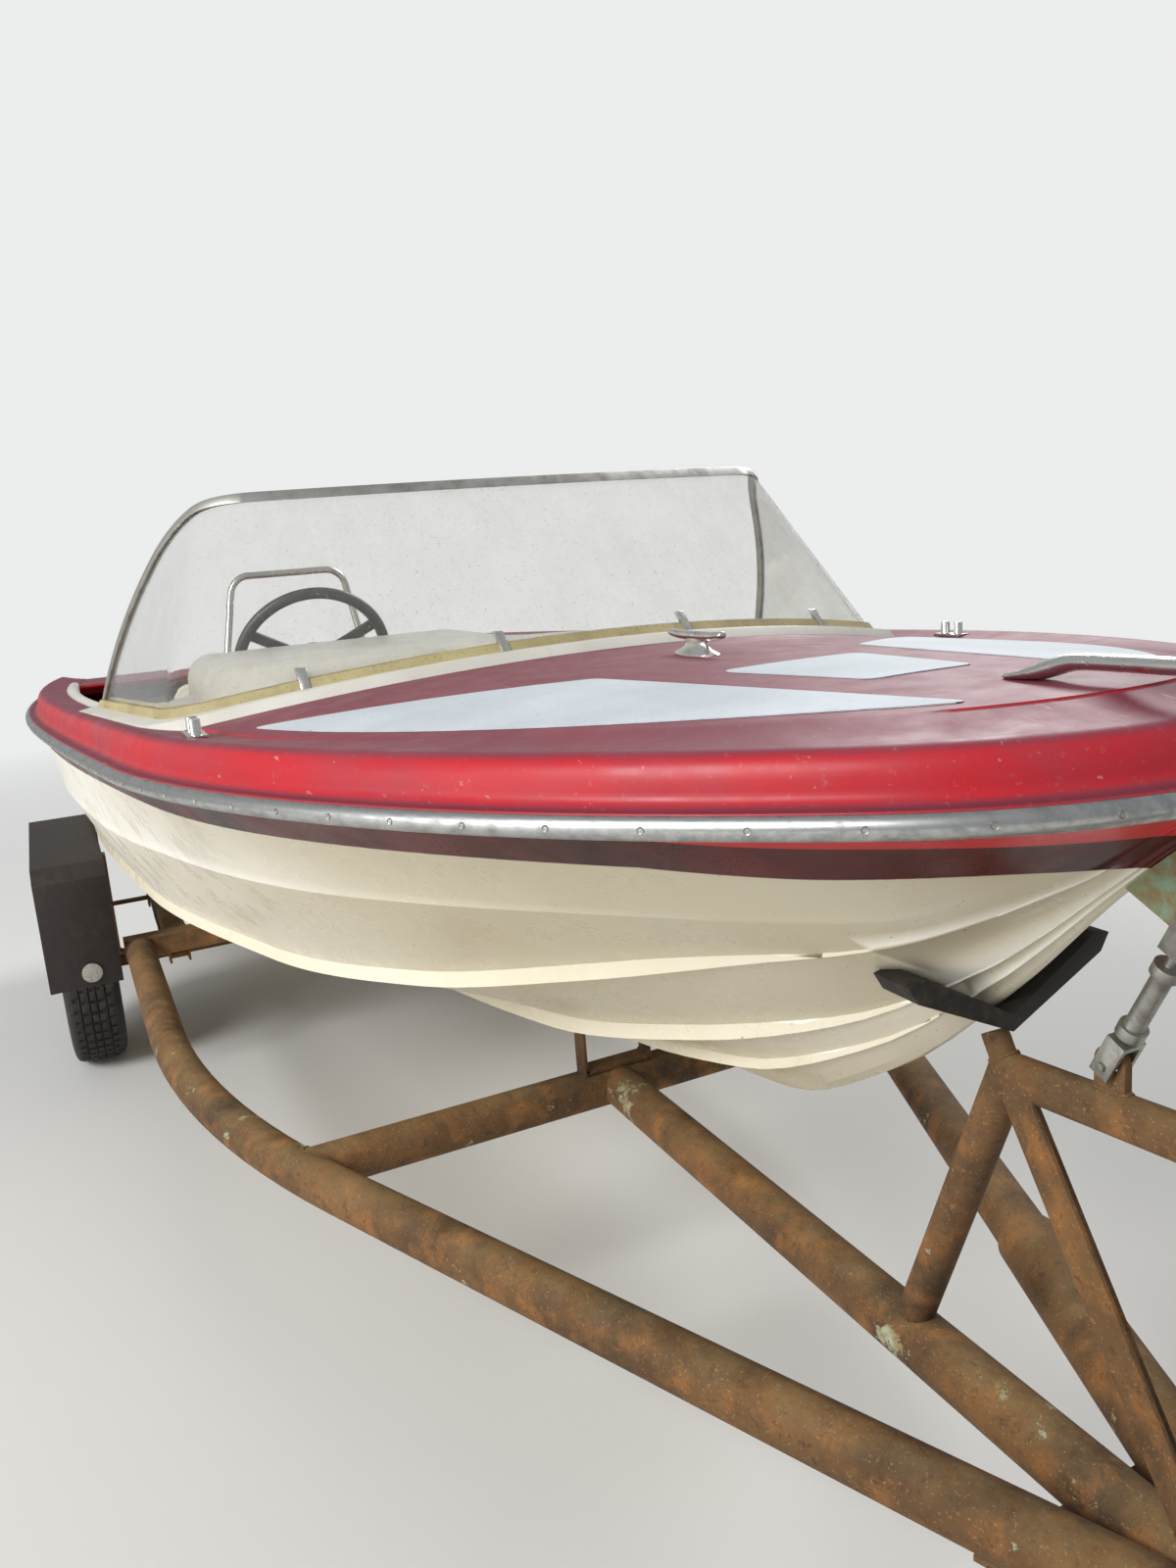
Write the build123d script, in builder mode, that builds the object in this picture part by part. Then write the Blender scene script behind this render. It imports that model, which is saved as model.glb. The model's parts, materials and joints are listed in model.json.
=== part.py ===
from build123d import *
import math
import os

os.makedirs("parts", exist_ok=True)

# A 14 ft open runabout on its road trailer, in millimetres.
# +X is the bow, +Y is port, +Z is up. Z = 0 is the ground, and X = Y = 0 is the middle of the outfit.
# "aft" is a distance behind the tip of the bow, positive towards the transom.

# Overall sizes
BOAT_LENGTH = 4300
COUPLING_AHEAD = 600
SEAT_GAP = 0.3
PAD_THICK = 18
BOW_X = (BOAT_LENGTH + PAD_THICK + SEAT_GAP - COUPLING_AHEAD) / 2

# Sheer line: the joint of deck and hull lies in one plane that falls gently aft
SHEER_BOW_Z = 1205
SHEER_FALL_DEG = 2.4
# Plan outline of the rub rail, a chain of tangent arcs: (aft, half beam)
RAIL_KNOTS = [(0, 0), (120, 290), (500, 570), (1250, 800), (2300, 895), (BOAT_LENGTH, 850)]

# Rub rail, deck lip and hull skin
RAIL_HEIGHT = 22
RAIL_PROUD = 11
DECK_LIP = 6
HULL_GAP = 5
DECK_SKIN = 7
HULL_SKIN = 9
TRANSOM = 40
# Rolled gunwale: a ledge above the rail, a steep face, then a flat top that falls to a crease
LEDGE_IN = 9
LEDGE_HEIGHT = 12
FACE_FOOT = 26
FACE_IN = LEDGE_IN + FACE_FOOT - LEDGE_HEIGHT
FACE_TOP = (FACE_IN + 2, 36)
BULGE_IN = 46
BULGE_HEIGHT = 60
CREASE_IN = 130
CREASE_HEIGHT = 44
# Round the bow the crowned panel stands above the roll, on a rim this deep
BOW_RIM_DEPTH = 38
BOW_RIM_END = 700

# Hull stations from the tip aft. Strake and chine are the outer corners of their steps.
# (aft, keel z, keel half width, strake y, strake z, chine y, chine z, step)
HULL_STATIONS = [
    (12, 1186, 3, 8, 1188, 17, 1191, 0.6),
    (60, 1150, 3, 12, 1156, 32, 1164, 0.8),
    (140, 1078, 4, 16, 1088, 44, 1102, 1.2),
    (260, 953, 5, 38, 982, 150, 1030, 4),
    (450, 787, 7, 92, 862, 228, 968, 9),
    (680, 664, 10, 160, 775, 322, 898, 12),
    (1000, 622, 12, 240, 700, 440, 815, 13),
    (1500, 606, 12, 322, 664, 575, 738, 13),
    (2200, 600, 12, 385, 652, 725, 710, 13),
    (3200, 600, 12, 405, 652, 800, 704, 13),
    (BOAT_LENGTH, 600, 12, 405, 652, 790, 704, 13),
]
# Between the table's rows the lines of the hull are faired, and sections are drawn here
SECTION_AFTS = [
    12, 30, 60, 100, 140, 200, 260, 350, 450, 560, 680, 830, 1000, 1250, 1500, 1850, 2200, 2700, 3200,
    BOAT_LENGTH,
]
NOSE_AFT = 260
KEEL_RIDGE = (20, 14)
# A smaller strake lies between the keel and the first one, at this share of the way out
INNER_STRAKE_SHARE = 0.45
INNER_STRAKE_DROP = 6
INNER_STRAKE_STEP = 0.7
# A soft knuckle runs along the topside, this far below the sheer at the bow and lower aft
KNUCKLE_DROP = 118
KNUCKLE_FALL = 0.045
KNUCKLE_DROP_MAX = 200
KNUCKLE_SHARE_MIN = 0.15
KNUCKLE_OUT = 12

# Foredeck crown: a shallow cylinder, sloping gently down aft
CROWN_RADIUS = 4200
CROWN_BOW_Z = 1278
CROWN_FALL_DEG = 0.86
FOREDECK_END = 1950

# Windscreen: outlines at two heights, the rake follows from them
SCREEN_LOW_Z = 1150
SCREEN_HIGH_Z = 1600
# (aft at the middle, aft at the corner, half width at the corner, aft end, half width at the end,
# corner radius)
SCREEN_LOW = (1095, 1290, 725, 2060, 795, 150)
SCREEN_HIGH = (1518, 1575, 545, 2160, 760, 130)
SCREEN_GLASS = 5
SCREEN_TOP_Z = 1568
SCREEN_BASE_END = (1935, 1150)
SCREEN_TOP_CORNER = (1645, SCREEN_TOP_Z)
SCREEN_CORNER_RADIUS = 220
FRAME_WIDTH = 17
FRAME_SIDE = 4
PLINTH_HEIGHT = 16
PLINTH_OUT = 38
PLINTH_IN = 12
SEAL_HEIGHT = 13
SEAL_OUT = 8

CLIPS = [(1205, 175), (1270, 500)]
CLIP_WIDTH = 15
CLIP_HEIGHT = 32
CLIP_THICK = 3

# Aft deck, motor well and cockpit
AFT_DECK = 3700
WELL_AFT = 3980
WELL_HALF = 280
MOTOR_TOP_Z = 981
MOTOR_PAD = (320, 250)
LINER_SKIN = 6
COAMING_DEPTH = 120
LIP_HEIGHT = 12
LIP_OUT = 24

DASH_AFT = 1790
DASH_HALF = 640
FASCIA_DEPTH = 150
COWL = (-620, -40, 1300, 22)
COWL_SHOULDER = 50
COWL_FRONT_ROUND = 30
GAUGE_RADIUS = 42
GAUGES_Y = (-550, -455, -225, -130)
WHEEL_CENTRE = (1935, -340, 1234)
WHEEL_TILT = 25
WHEEL_RADIUS = 170
WHEEL_RIM = 24
COLUMN = 38
SOLE_Z = 700
SOLE_THICK = 12
SOLE_FROM = 1150
SEAT_Y = 345
SEAT_WIDTH = 470
SEAT_FRONT = 2240
SEAT_LENGTH = 430
BACK_THICK = 110
SEAT_BASE_TOP = 880
CUSHION_THICK = 80
BACK_TOP = 1150
HOOP_AFT = 3830
HOOP_TUBE = 25
HOOP_BASE = 260
HOOP_TOP_HALF = 200
HOOP_TOP_Z = 1410

# Deck fittings
CLEAT_AFT = 890
# (length of the horns, their width, height, length of the base, its width)
CLEAT = (150, 18, 34, 112, 42)
BOLLARD = (1117, 692)
HANDLE = (225, 40)
HANDLE_RISE = 20
HANDLE_BAR = (22, 13)
HANDLE_FOOT = (74, 30, 5)

# Trailer
TUBE = 76
TUBE_Z = 420
# Half spacing of the side tubes is SIDE_TUBE_APEX + SIDE_TUBE_SLOPE * aft, up to SIDE_TUBE_HALF
SIDE_TUBE_SLOPE = 0.434
SIDE_TUBE_APEX = 44
SIDE_TUBE_HALF = 745
SIDE_TUBE_BEND = 2200
CROSS_TUBE_AFT = 1290
REAR_BEAM_AFT = 2800
TAIL_BEAM_AFT = 4180
RAIL_HALF = 640
BEAM = 60
NOSE_TUBE_AFT = -500
# Gusset plate under the apex of the three tubes: (aft, half width)
APEX_PLATE = [(-70, 40), (190, 140)]
APEX_THICK = 8
SLEEVE = 88
SLEEVE_AFTS = (510, 110)
LEAF = 7
LEAF_WIDTH = 45
LEAVES = (330, 230, 130)
SPRING_RISE = 37
BUNK = (2620, 4230, 480, 100)
ROLLER = (34, 110, 64)
ROLLER_AFTS = (CROSS_TUBE_AFT, REAR_BEAM_AFT, TAIL_BEAM_AFT)
ROLLER_PIN = 16
GUARD = (2720, 3610, 800, 985)
GUARD_TOP = 690
GUARD_LOW = 360
GUARD_SHEET = 3
REFLECTOR = 26
STAND_FOOT = (437, 455)
STAND_NODE = (279, 846)
STAND_TUBE = 45
STAND_STRUT_FOOT = (20, 455)
POST_AFT = -230
POST_TOP = 940
POST = 60
# (aft, half span of the wings, thickness, width)
CHOCK = (300, 128, 20, 56)
HOOK_AFT = 145
HOOK_THICK = 10
STAND_RISE = 0.083
# (from the lower pin, to, diameter) of the rod, the body and its collars
TURNBUCKLE = [(30, 150, 10), (44, 128, 20), (40, 52, 28), (120, 132, 28)]
WINCH_Z = 1005
DRUM = (24, 70, 48)
DRUM_SHAFT = 18
CRANK = 180
JACK_AFT = -330
JACK_Y = -95
JACK_SLEEVE = (60, 330, 720)
JACK_LEG = (47.4, 400)
JACK_FOOT = (160, 8)
BALL = 50
AXLE_AFT = 3160
AXLE_DIAMETER = 50
AXLE_Z = 288
TRACK_HALF = 885
STUB = 30
HUB_GAP = 0.3
TYRE_RADIUS = 288
TYRE_WIDTH = 155
TYRE_WAIST = 226
SHOULDER = 60
BEAD = 56.7
RIM_RADIUS = 165
RIM_FLANGE = RIM_RADIUS + 10


def x_at(aft):
    """X of a place so far behind the tip of the bow."""
    return BOW_X - aft


def sheer_z(aft):
    """Height of the sheer plane at a place so far behind the tip."""
    return SHEER_BOW_Z - aft * math.tan(math.radians(SHEER_FALL_DEG))


def chain_arcs(knots):
    """Tangent arcs through the knots: (centre aft, centre beam, radius, heading at start, at end)."""
    arcs = []
    heading = math.pi / 2
    for (aft_0, beam_0), (aft_1, beam_1) in zip(knots, knots[1:]):
        chord = math.atan2(beam_1 - beam_0, aft_1 - aft_0)
        half_turn = heading - chord
        radius = math.hypot(aft_1 - aft_0, beam_1 - beam_0) / (2 * math.sin(half_turn))
        centre = (aft_0 + radius * math.sin(heading), beam_0 - radius * math.cos(heading))
        arcs.append((*centre, radius, heading, chord - half_turn))
        heading = chord - half_turn
    return arcs


RAIL_ARCS = chain_arcs(RAIL_KNOTS)


def rail_half_beam(aft, inboard=0):
    """Half beam of the rub rail line, moved inboard, at a place so far behind the tip."""
    for knot, arc in zip(RAIL_KNOTS[1:], RAIL_ARCS):
        if aft <= knot[0]:
            break
    centre_aft, centre_beam, radius = arc[:3]
    return centre_beam + math.sqrt((radius - inboard) ** 2 - (aft - centre_aft) ** 2)


def port_arcs(inboard):
    """Start, middle and end points (forward, port) of each rail arc, moved inboard."""
    runs = []
    for centre_aft, centre_beam, radius, start, end in RAIL_ARCS:
        run = []
        for heading in (start, (start + end) / 2, end):
            reach = radius - inboard
            run.append((-(centre_aft - reach * math.sin(heading)), centre_beam + reach * math.cos(heading)))
        runs.append(run)
    return runs


def outline_edges(inboard):
    """The plan outline as arcs, port side then starboard, in the line being drawn."""
    for run in port_arcs(inboard):
        ThreePointArc(*run)
        ThreePointArc(*[(forward, -port) for forward, port in run])


def plan_face(inboard, start_aft, end_aft, inner=None):
    """Plan outline, moved inboard, between two places, less an inner outline, in the sketch in hand."""
    with BuildSketch() as plan:
        for offset_in, mode in ((inboard, Mode.ADD), (inner, Mode.SUBTRACT)):
            if offset_in is not None:
                with BuildLine() as rim:
                    outline_edges(offset_in)
                    last = port_arcs(offset_in)[-1][-1]
                    Line(last, (last[0], -last[1]))
                make_face(rim.edges(), mode=mode)
        with Locations((-(start_aft + end_aft) / 2, 0)):
            Rectangle(end_aft - start_aft, BOAT_LENGTH, mode=Mode.INTERSECT)
    return plan.sketch


def sheer_plate(low, high, inboard, start_aft, end_aft, inner=None):
    """A plate of the plan outline between two heights above the sheer plane."""
    face = plan_face(inboard, start_aft, end_aft, inner).moved(sheer_plane.offset(low).location)
    return extrude(face, amount=high - low, mode=Mode.PRIVATE)


def plumb_plate(low, high, inboard, start_aft, end_aft, inner=None):
    """A plate of the plan outline between two level heights."""
    face = plan_face(inboard, start_aft, end_aft, inner).moved(Location((BOW_X, 0, low)))
    return extrude(face, amount=high - low, mode=Mode.PRIVATE)


def round_bar(start, end, diameter, mode=Mode.ADD):
    """Round bar between two points, in the part being built."""
    axis = Vector(*end) - Vector(*start)
    with BuildSketch(Plane(origin=start, z_dir=axis)) as ring:
        Circle(diameter / 2)
    extrude(ring.sketch, amount=axis.length, mode=mode)


def box_between(low, high, mode=Mode.ADD):
    """Box between two corners, in the part being built."""
    size = [abs(b - a) for a, b in zip(low, high)]
    with Locations(tuple((a + b) / 2 for a, b in zip(low, high))):
        Box(*size, mode=mode)


def finish(piece, name):
    """Label a finished piece and write it."""
    piece.part.label = name
    export_step(piece.part, f"parts/{name}.step")


sheer_plane = Plane(
    origin=(BOW_X, 0, SHEER_BOW_Z),
    x_dir=(math.cos(math.radians(SHEER_FALL_DEG)), 0, math.sin(math.radians(SHEER_FALL_DEG))),
    z_dir=(-math.sin(math.radians(SHEER_FALL_DEG)), 0, math.cos(math.radians(SHEER_FALL_DEG))),
)

# The sheer line runs from the port quarter round the bow to the starboard quarter
with BuildLine(sheer_plane) as sheer_line:
    for port_run in reversed(port_arcs(0)):
        ThreePointArc(*reversed(port_run))
    for port_run in port_arcs(0):
        ThreePointArc(*[(forward, -port) for forward, port in port_run])
sheer_path = sheer_line.line
sheer_start = sheer_path @ 0
sheer_heading = sheer_path % 0
# In this plane the first axis points inboard and the second one up
rail_section = Plane(
    origin=sheer_start,
    x_dir=sheer_heading.cross(sheer_plane.z_dir),
    z_dir=-sheer_heading,
)


# Hull

def step_corners(y, z, step):
    """Corners of a chine or strake step, from the panel below it to the one above."""
    return [(y - step, z + 0.3 * step), (y, z), (y - 0.2 * step, z + 1.8 * step)]


def fair_slope(row, column):
    """Slope of a line of the hull at a row of the station table, without overshoot."""
    if row in (0, len(HULL_STATIONS) - 1):
        near = 1 if row == 0 else row - 1
        run = HULL_STATIONS[near][0] - HULL_STATIONS[row][0]
        return (HULL_STATIONS[near][column] - HULL_STATIONS[row][column]) / run
    before, here, after = HULL_STATIONS[row - 1 : row + 2]
    slope_in = (here[column] - before[column]) / (here[0] - before[0])
    slope_out = (after[column] - here[column]) / (after[0] - here[0])
    if slope_in * slope_out <= 0:
        return 0
    return 2 * slope_in * slope_out / (slope_in + slope_out)


def fair_station(aft):
    """A row of the station table at any place, by cubic runs between the rows."""
    row = max(i for i in range(len(HULL_STATIONS) - 1) if i == 0 or HULL_STATIONS[i][0] <= aft)
    before, after = HULL_STATIONS[row : row + 2]
    run = after[0] - before[0]
    t = (aft - before[0]) / run
    values = [aft]
    for column in range(1, len(before)):
        slope_0 = fair_slope(row, column) * run
        slope_1 = fair_slope(row + 1, column) * run
        values.append(
            (2 * t**3 - 3 * t**2 + 1) * before[column]
            + (t**3 - 2 * t**2 + t) * slope_0
            + (3 * t**2 - 2 * t**3) * after[column]
            + (t**3 - t**2) * slope_1
        )
    return values


def hull_section(aft):
    """Port half of a hull section, keel to sheer, as (y, z)."""
    keel_z, keel_half, strake_y, strake_z, chine_y, chine_z, step = fair_station(aft)[1:]
    share = step / HULL_STATIONS[-1][-1]
    points = [(keel_half, keel_z)]
    ridge_y, ridge_z = keel_half + KEEL_RIDGE[0] * share, keel_z + KEEL_RIDGE[1] * share
    points.append((ridge_y, ridge_z))
    inner_y = ridge_y + (strake_y - ridge_y) * INNER_STRAKE_SHARE
    inner_z = ridge_z + (strake_z - ridge_z) * INNER_STRAKE_SHARE - INNER_STRAKE_DROP * share
    points += step_corners(inner_y, inner_z, step * INNER_STRAKE_STEP)
    points += step_corners(strake_y, strake_z, step)
    points += step_corners(chine_y, chine_z, step)
    sheer_y = rail_half_beam(aft, DECK_LIP + HULL_GAP)
    low_y, low_z = points[-1]
    topside = sheer_z(aft) - low_z
    knuckle_drop = min(KNUCKLE_DROP + KNUCKLE_FALL * aft, KNUCKLE_DROP_MAX)
    knuckle_share = max(1 - knuckle_drop / topside, KNUCKLE_SHARE_MIN)
    knuckle_y = low_y + (sheer_y - low_y) * knuckle_share + KNUCKLE_OUT * share
    points.append((knuckle_y, low_z + topside * knuckle_share))
    points.append((sheer_y, sheer_z(aft)))
    return points


def station_plane(aft):
    return Plane(origin=(x_at(aft), 0, 0), x_dir=(0, 1, 0), z_dir=(1, 0, 0))


with BuildPart() as hull_form:
    for section_aft in SECTION_AFTS:
        half = hull_section(section_aft)
        with BuildSketch(station_plane(section_aft)):
            with BuildLine():
                Polyline(*half, *[(-y, z) for y, z in reversed(half)], close=True)
            make_face()
    loft(ruled=True)


def inner_section(aft, skin):
    """Port half of the space inside the hull at one section, so far in from the outside."""
    ridge, *_, strake, _, strake_top, chine, _, _, knuckle, sheer = hull_section(aft)[1:]
    keel_in = (ridge[0], ridge[1] + 1.4 * skin)
    strake_in = (strake[0] - 0.7 * skin, strake_top[1] + 0.5 * skin)
    chine_in = (chine[0] - skin, chine[1] + 1.4 * skin)
    knuckle_in = (knuckle[0] - 1.6 * skin, knuckle[1] + 0.4 * skin)
    sheer_in = (sheer[0] - skin, sheer[1] + 1)
    return [keel_in, strake_in, chine_in, knuckle_in, sheer_in]


# The inside of the hull starts behind the solid nose and stops at the transom
with BuildPart() as hull_inside:
    for section_aft in [aft for aft in SECTION_AFTS if aft >= NOSE_AFT]:
        inner = inner_section(min(section_aft, BOAT_LENGTH - TRANSOM), HULL_SKIN)
        with BuildSketch(station_plane(min(section_aft, BOAT_LENGTH - TRANSOM))):
            with BuildLine():
                Polyline(*inner, *[(-y, z) for y, z in reversed(inner)], close=True)
            make_face()
    loft(ruled=True)



# Deck: rolled gunwale all round, foredeck panel inside the crease, aft deck

def roll_surface(inward):
    """The roll's upper surface from the lip to the crease, moved inward, in the line being drawn."""
    ledge_z = LEDGE_HEIGHT - inward
    lip = (inward * DECK_LIP / DECK_SKIN, ledge_z)
    foot = (LEDGE_IN, ledge_z)
    radius = FACE_FOOT - ledge_z
    diagonal = radius * math.sin(math.pi / 4)
    face_low = (LEDGE_IN + radius, FACE_FOOT)
    face_high = (FACE_TOP[0] + inward, FACE_TOP[1])
    bulge = (BULGE_IN + inward / 3, BULGE_HEIGHT - inward)
    shoulder = (
        face_high[0] + (bulge[0] - face_high[0]) * 0.27,
        face_high[1] + (bulge[1] - face_high[1]) * 0.71,
    )
    Line(lip, foot)
    ThreePointArc(foot, (LEDGE_IN + diagonal, FACE_FOOT - diagonal), face_low)
    Line(face_low, face_high)
    ThreePointArc(face_high, shoulder, bulge)
    Line(bulge, (CREASE_IN, CREASE_HEIGHT - inward))


with BuildPart() as gunwale_roll:
    with BuildSketch(rail_section) as roll_section:
        with BuildLine():
            roll_surface(0)
            roll_surface(DECK_SKIN)
            Line((CREASE_IN, CREASE_HEIGHT), (CREASE_IN, CREASE_HEIGHT - DECK_SKIN))
            Polyline(
                (0, LEDGE_HEIGHT), (0, -RAIL_HEIGHT / 2), (DECK_LIP, -RAIL_HEIGHT / 2),
                (DECK_LIP, LEDGE_HEIGHT - DECK_SKIN),
            )
        make_face()
    sweep(sections=roll_section.sketch, path=sheer_path)

# The space under the roll's upper surface, for whatever stands on it
with BuildPart() as roll_bed:
    with BuildSketch(rail_section) as bed_section:
        with BuildLine():
            roll_surface(0)
            Polyline(
                (CREASE_IN, CREASE_HEIGHT), (CREASE_IN, -COAMING_DEPTH), (0, -COAMING_DEPTH), (0, LEDGE_HEIGHT)
            )
        make_face()
    sweep(sections=bed_section.sketch, path=sheer_path)
roll_bed = roll_bed.part.moved(Location((0, 0, 2 * SEAT_GAP)))


def crown_sheet(top_lift, bottom_lift):
    """A sheet of the crowned foredeck surface between two heights above it."""
    tilt = Plane(
        origin=(BOW_X, 0, CROWN_BOW_Z),
        x_dir=(0, 1, 0),
        z_dir=(-math.cos(math.radians(CROWN_FALL_DEG)), 0, -math.sin(math.radians(CROWN_FALL_DEG))),
    )
    up = tilt.y_dir.Z
    half = 1000
    dip = CROWN_RADIUS - math.sqrt(CROWN_RADIUS**2 - half**2)
    with BuildSketch(tilt) as strip:
        with BuildLine():
            ThreePointArc(
                (-half, up * (top_lift - dip)), (0, up * top_lift), (half, up * (top_lift - dip))
            )
            Line((half, up * (top_lift - dip)), (half, up * (bottom_lift - dip)))
            ThreePointArc(
                (half, up * (bottom_lift - dip)), (0, up * bottom_lift), (-half, up * (bottom_lift - dip))
            )
            Line((-half, up * (bottom_lift - dip)), (-half, up * (top_lift - dip)))
        make_face()
    return extrude(strip.sketch, amount=BOAT_LENGTH, mode=Mode.PRIVATE)


def crown_z(aft, y):
    """Height of the foredeck crown."""
    dip = CROWN_RADIUS - math.sqrt(CROWN_RADIUS**2 - y**2)
    return CROWN_BOW_Z - aft * math.tan(math.radians(CROWN_FALL_DEG)) - dip


# Windscreen: a raked wrap-round wall, cut by the side outline above and by the crown below

def screen_outline(outline, shift):
    """One outline of the windscreen wall, moved outwards by shift."""
    aft_mid, aft_corner, half_corner, aft_end, half_end, radius = outline
    with BuildLine() as rim:
        ThreePointArc((x_at(aft_corner), half_corner), (x_at(aft_mid), 0), (x_at(aft_corner), -half_corner))
        Line((x_at(aft_corner), -half_corner), (x_at(aft_end), -half_end))
        Line((x_at(aft_end), -half_end), (x_at(aft_end), half_end))
        Line((x_at(aft_end), half_end), (x_at(aft_corner), half_corner))
    with BuildSketch() as wall:
        make_face(rim.edges())
        fillet(wall.vertices().sort_by(Axis.X)[-2:], radius)
        offset(amount=shift, kind=Kind.INTERSECTION)
    return wall.sketch


def screen_solid(shift):
    """The space inside the windscreen wall, moved outwards by shift."""
    low = screen_outline(SCREEN_LOW, shift).moved(Location((0, 0, SCREEN_LOW_Z)))
    high = screen_outline(SCREEN_HIGH, shift).moved(Location((0, 0, SCREEN_HIGH_Z)))
    return loft([low.face(), high.face()], ruled=True, mode=Mode.PRIVATE)


def side_silhouette(inset):
    """Side outline of the windscreen, moved inwards by inset, right across the boat."""
    with BuildSketch(Plane.XZ) as side:
        with BuildLine():
            Polyline(
                (x_at(SCREEN_LOW[0] - 200), SCREEN_LOW_Z),
                (x_at(SCREEN_LOW[0] - 200), SCREEN_TOP_Z),
                (x_at(SCREEN_TOP_CORNER[0]), SCREEN_TOP_CORNER[1]),
                (x_at(SCREEN_BASE_END[0]), SCREEN_BASE_END[1]),
                close=True,
            )
        make_face()
        fillet(side.vertices().sort_by(Axis.X)[1], SCREEN_CORNER_RADIUS)
        offset(amount=-inset, kind=Kind.INTERSECTION)
    return extrude(side.sketch, amount=BOAT_LENGTH / 4, both=True, mode=Mode.PRIVATE)


with BuildPart() as windscreen:
    add(screen_solid(0))
    add(screen_solid(-SCREEN_GLASS), mode=Mode.SUBTRACT)
    add(side_silhouette(3), mode=Mode.INTERSECT)
    add(crown_sheet(PLINTH_HEIGHT + 3, -BOAT_LENGTH / 4), mode=Mode.SUBTRACT)
finish(windscreen, "windscreen")

with BuildPart() as windscreen_frame:
    add(screen_solid(FRAME_SIDE))
    add(screen_solid(-SCREEN_GLASS - FRAME_SIDE), mode=Mode.SUBTRACT)
    add(side_silhouette(0), mode=Mode.INTERSECT)
    add(side_silhouette(FRAME_WIDTH), mode=Mode.SUBTRACT)
    add(crown_sheet(PLINTH_HEIGHT, -BOAT_LENGTH / 4), mode=Mode.SUBTRACT)
    add(windscreen.part, mode=Mode.SUBTRACT)
finish(windscreen_frame, "windscreen_frame")

with BuildPart() as windscreen_seal:
    add(screen_solid(SEAL_OUT))
    add(screen_solid(-SCREEN_GLASS - SEAL_OUT), mode=Mode.SUBTRACT)
    add(crown_sheet(PLINTH_HEIGHT + SEAL_HEIGHT, PLINTH_HEIGHT), mode=Mode.INTERSECT)
    add(side_silhouette(0), mode=Mode.INTERSECT)
    add(windscreen.part, mode=Mode.SUBTRACT)
    add(windscreen_frame.part, mode=Mode.SUBTRACT)
finish(windscreen_seal, "windscreen_seal")

# Clips that hold the glass down: a strap in front of the seal with a tab on the glass
with BuildPart() as windscreen_clips:
    for side in (1, -1):
        for clip_aft, clip_y in CLIPS:
            low = crown_z(clip_aft, clip_y) + PLINTH_HEIGHT
            box_between(
                (x_at(clip_aft) - 60, side * clip_y - CLIP_WIDTH / 2, low),
                (x_at(clip_aft) + 60, side * clip_y + CLIP_WIDTH / 2, low + CLIP_HEIGHT),
            )
    add(screen_solid(SEAL_OUT + CLIP_THICK), mode=Mode.INTERSECT)
    add(screen_solid(0), mode=Mode.SUBTRACT)
    add(windscreen_seal.part, mode=Mode.SUBTRACT)
    add(crown_sheet(PLINTH_HEIGHT, -BOAT_LENGTH / 4), mode=Mode.SUBTRACT)
finish(windscreen_clips, "windscreen_clips")

deck_end_z = sheer_z(BOAT_LENGTH)
with BuildPart() as deck:
    add(crown_sheet(0, -DECK_SKIN).intersect(plumb_plate(0, 2000, 60, 0, FOREDECK_END)))
    add(crown_sheet(0, -BOW_RIM_DEPTH).intersect(plumb_plate(0, 2000, 60, 0, BOW_RIM_END, CREASE_IN)))
    add(screen_solid(-SCREEN_GLASS - PLINTH_IN), mode=Mode.SUBTRACT)
    add(gunwale_roll.part)
    add(sheer_plate(CREASE_HEIGHT - DECK_SKIN, CREASE_HEIGHT, CREASE_IN - 12, AFT_DECK, BOAT_LENGTH - 1))
    with BuildSketch(station_plane(BOAT_LENGTH)) as transom_cap:
        half_end = rail_half_beam(BOAT_LENGTH)
        # The cap's rim runs through the middle of the roll's skin: (inboard, up)
        cap_turn = (FACE_FOOT - LEDGE_HEIGHT + DECK_SKIN / 2) * math.sin(math.pi / 4)
        cap_rim = [
            (DECK_LIP / 2, 2 * SEAT_GAP),
            (DECK_LIP / 2, LEDGE_HEIGHT - DECK_SKIN / 2),
            (LEDGE_IN, LEDGE_HEIGHT - DECK_SKIN / 2),
            (LEDGE_IN + cap_turn, FACE_FOOT - cap_turn),
            (FACE_IN + DECK_SKIN / 2, FACE_FOOT),
            (FACE_TOP[0] + DECK_SKIN / 2, FACE_TOP[1]),
            (FACE_TOP[0] + DECK_SKIN / 2 + 5, FACE_TOP[1] + 14.6),
            (BULGE_IN + DECK_SKIN / 6, BULGE_HEIGHT - DECK_SKIN / 2),
            (CREASE_IN, CREASE_HEIGHT - DECK_SKIN / 2),
        ]
        cap = [(half_end - inboard, deck_end_z + up) for inboard, up in cap_rim]
        with BuildLine():
            Polyline(*cap, *[(-y, z) for y, z in reversed(cap)], close=True)
        make_face()
    extrude(transom_cap.sketch, amount=DECK_SKIN)
    box_between(
        (x_at(BOAT_LENGTH) - 1, -WELL_HALF, MOTOR_TOP_Z),
        (x_at(WELL_AFT), WELL_HALF, SHEER_BOW_Z),
        mode=Mode.SUBTRACT,
    )
finish(deck, "deck")

with BuildPart() as windscreen_plinth:
    add(screen_solid(PLINTH_OUT))
    add(screen_solid(-SCREEN_GLASS - PLINTH_IN), mode=Mode.SUBTRACT)
    add(crown_sheet(PLINTH_HEIGHT, SEAT_GAP), mode=Mode.INTERSECT)
    add(plumb_plate(SCREEN_LOW_Z - 100, SCREEN_HIGH_Z, 0, 0, FOREDECK_END), mode=Mode.INTERSECT)
    add(roll_bed, mode=Mode.SUBTRACT)
    add(deck.part, mode=Mode.SUBTRACT)
finish(windscreen_plinth, "windscreen_plinth")

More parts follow.
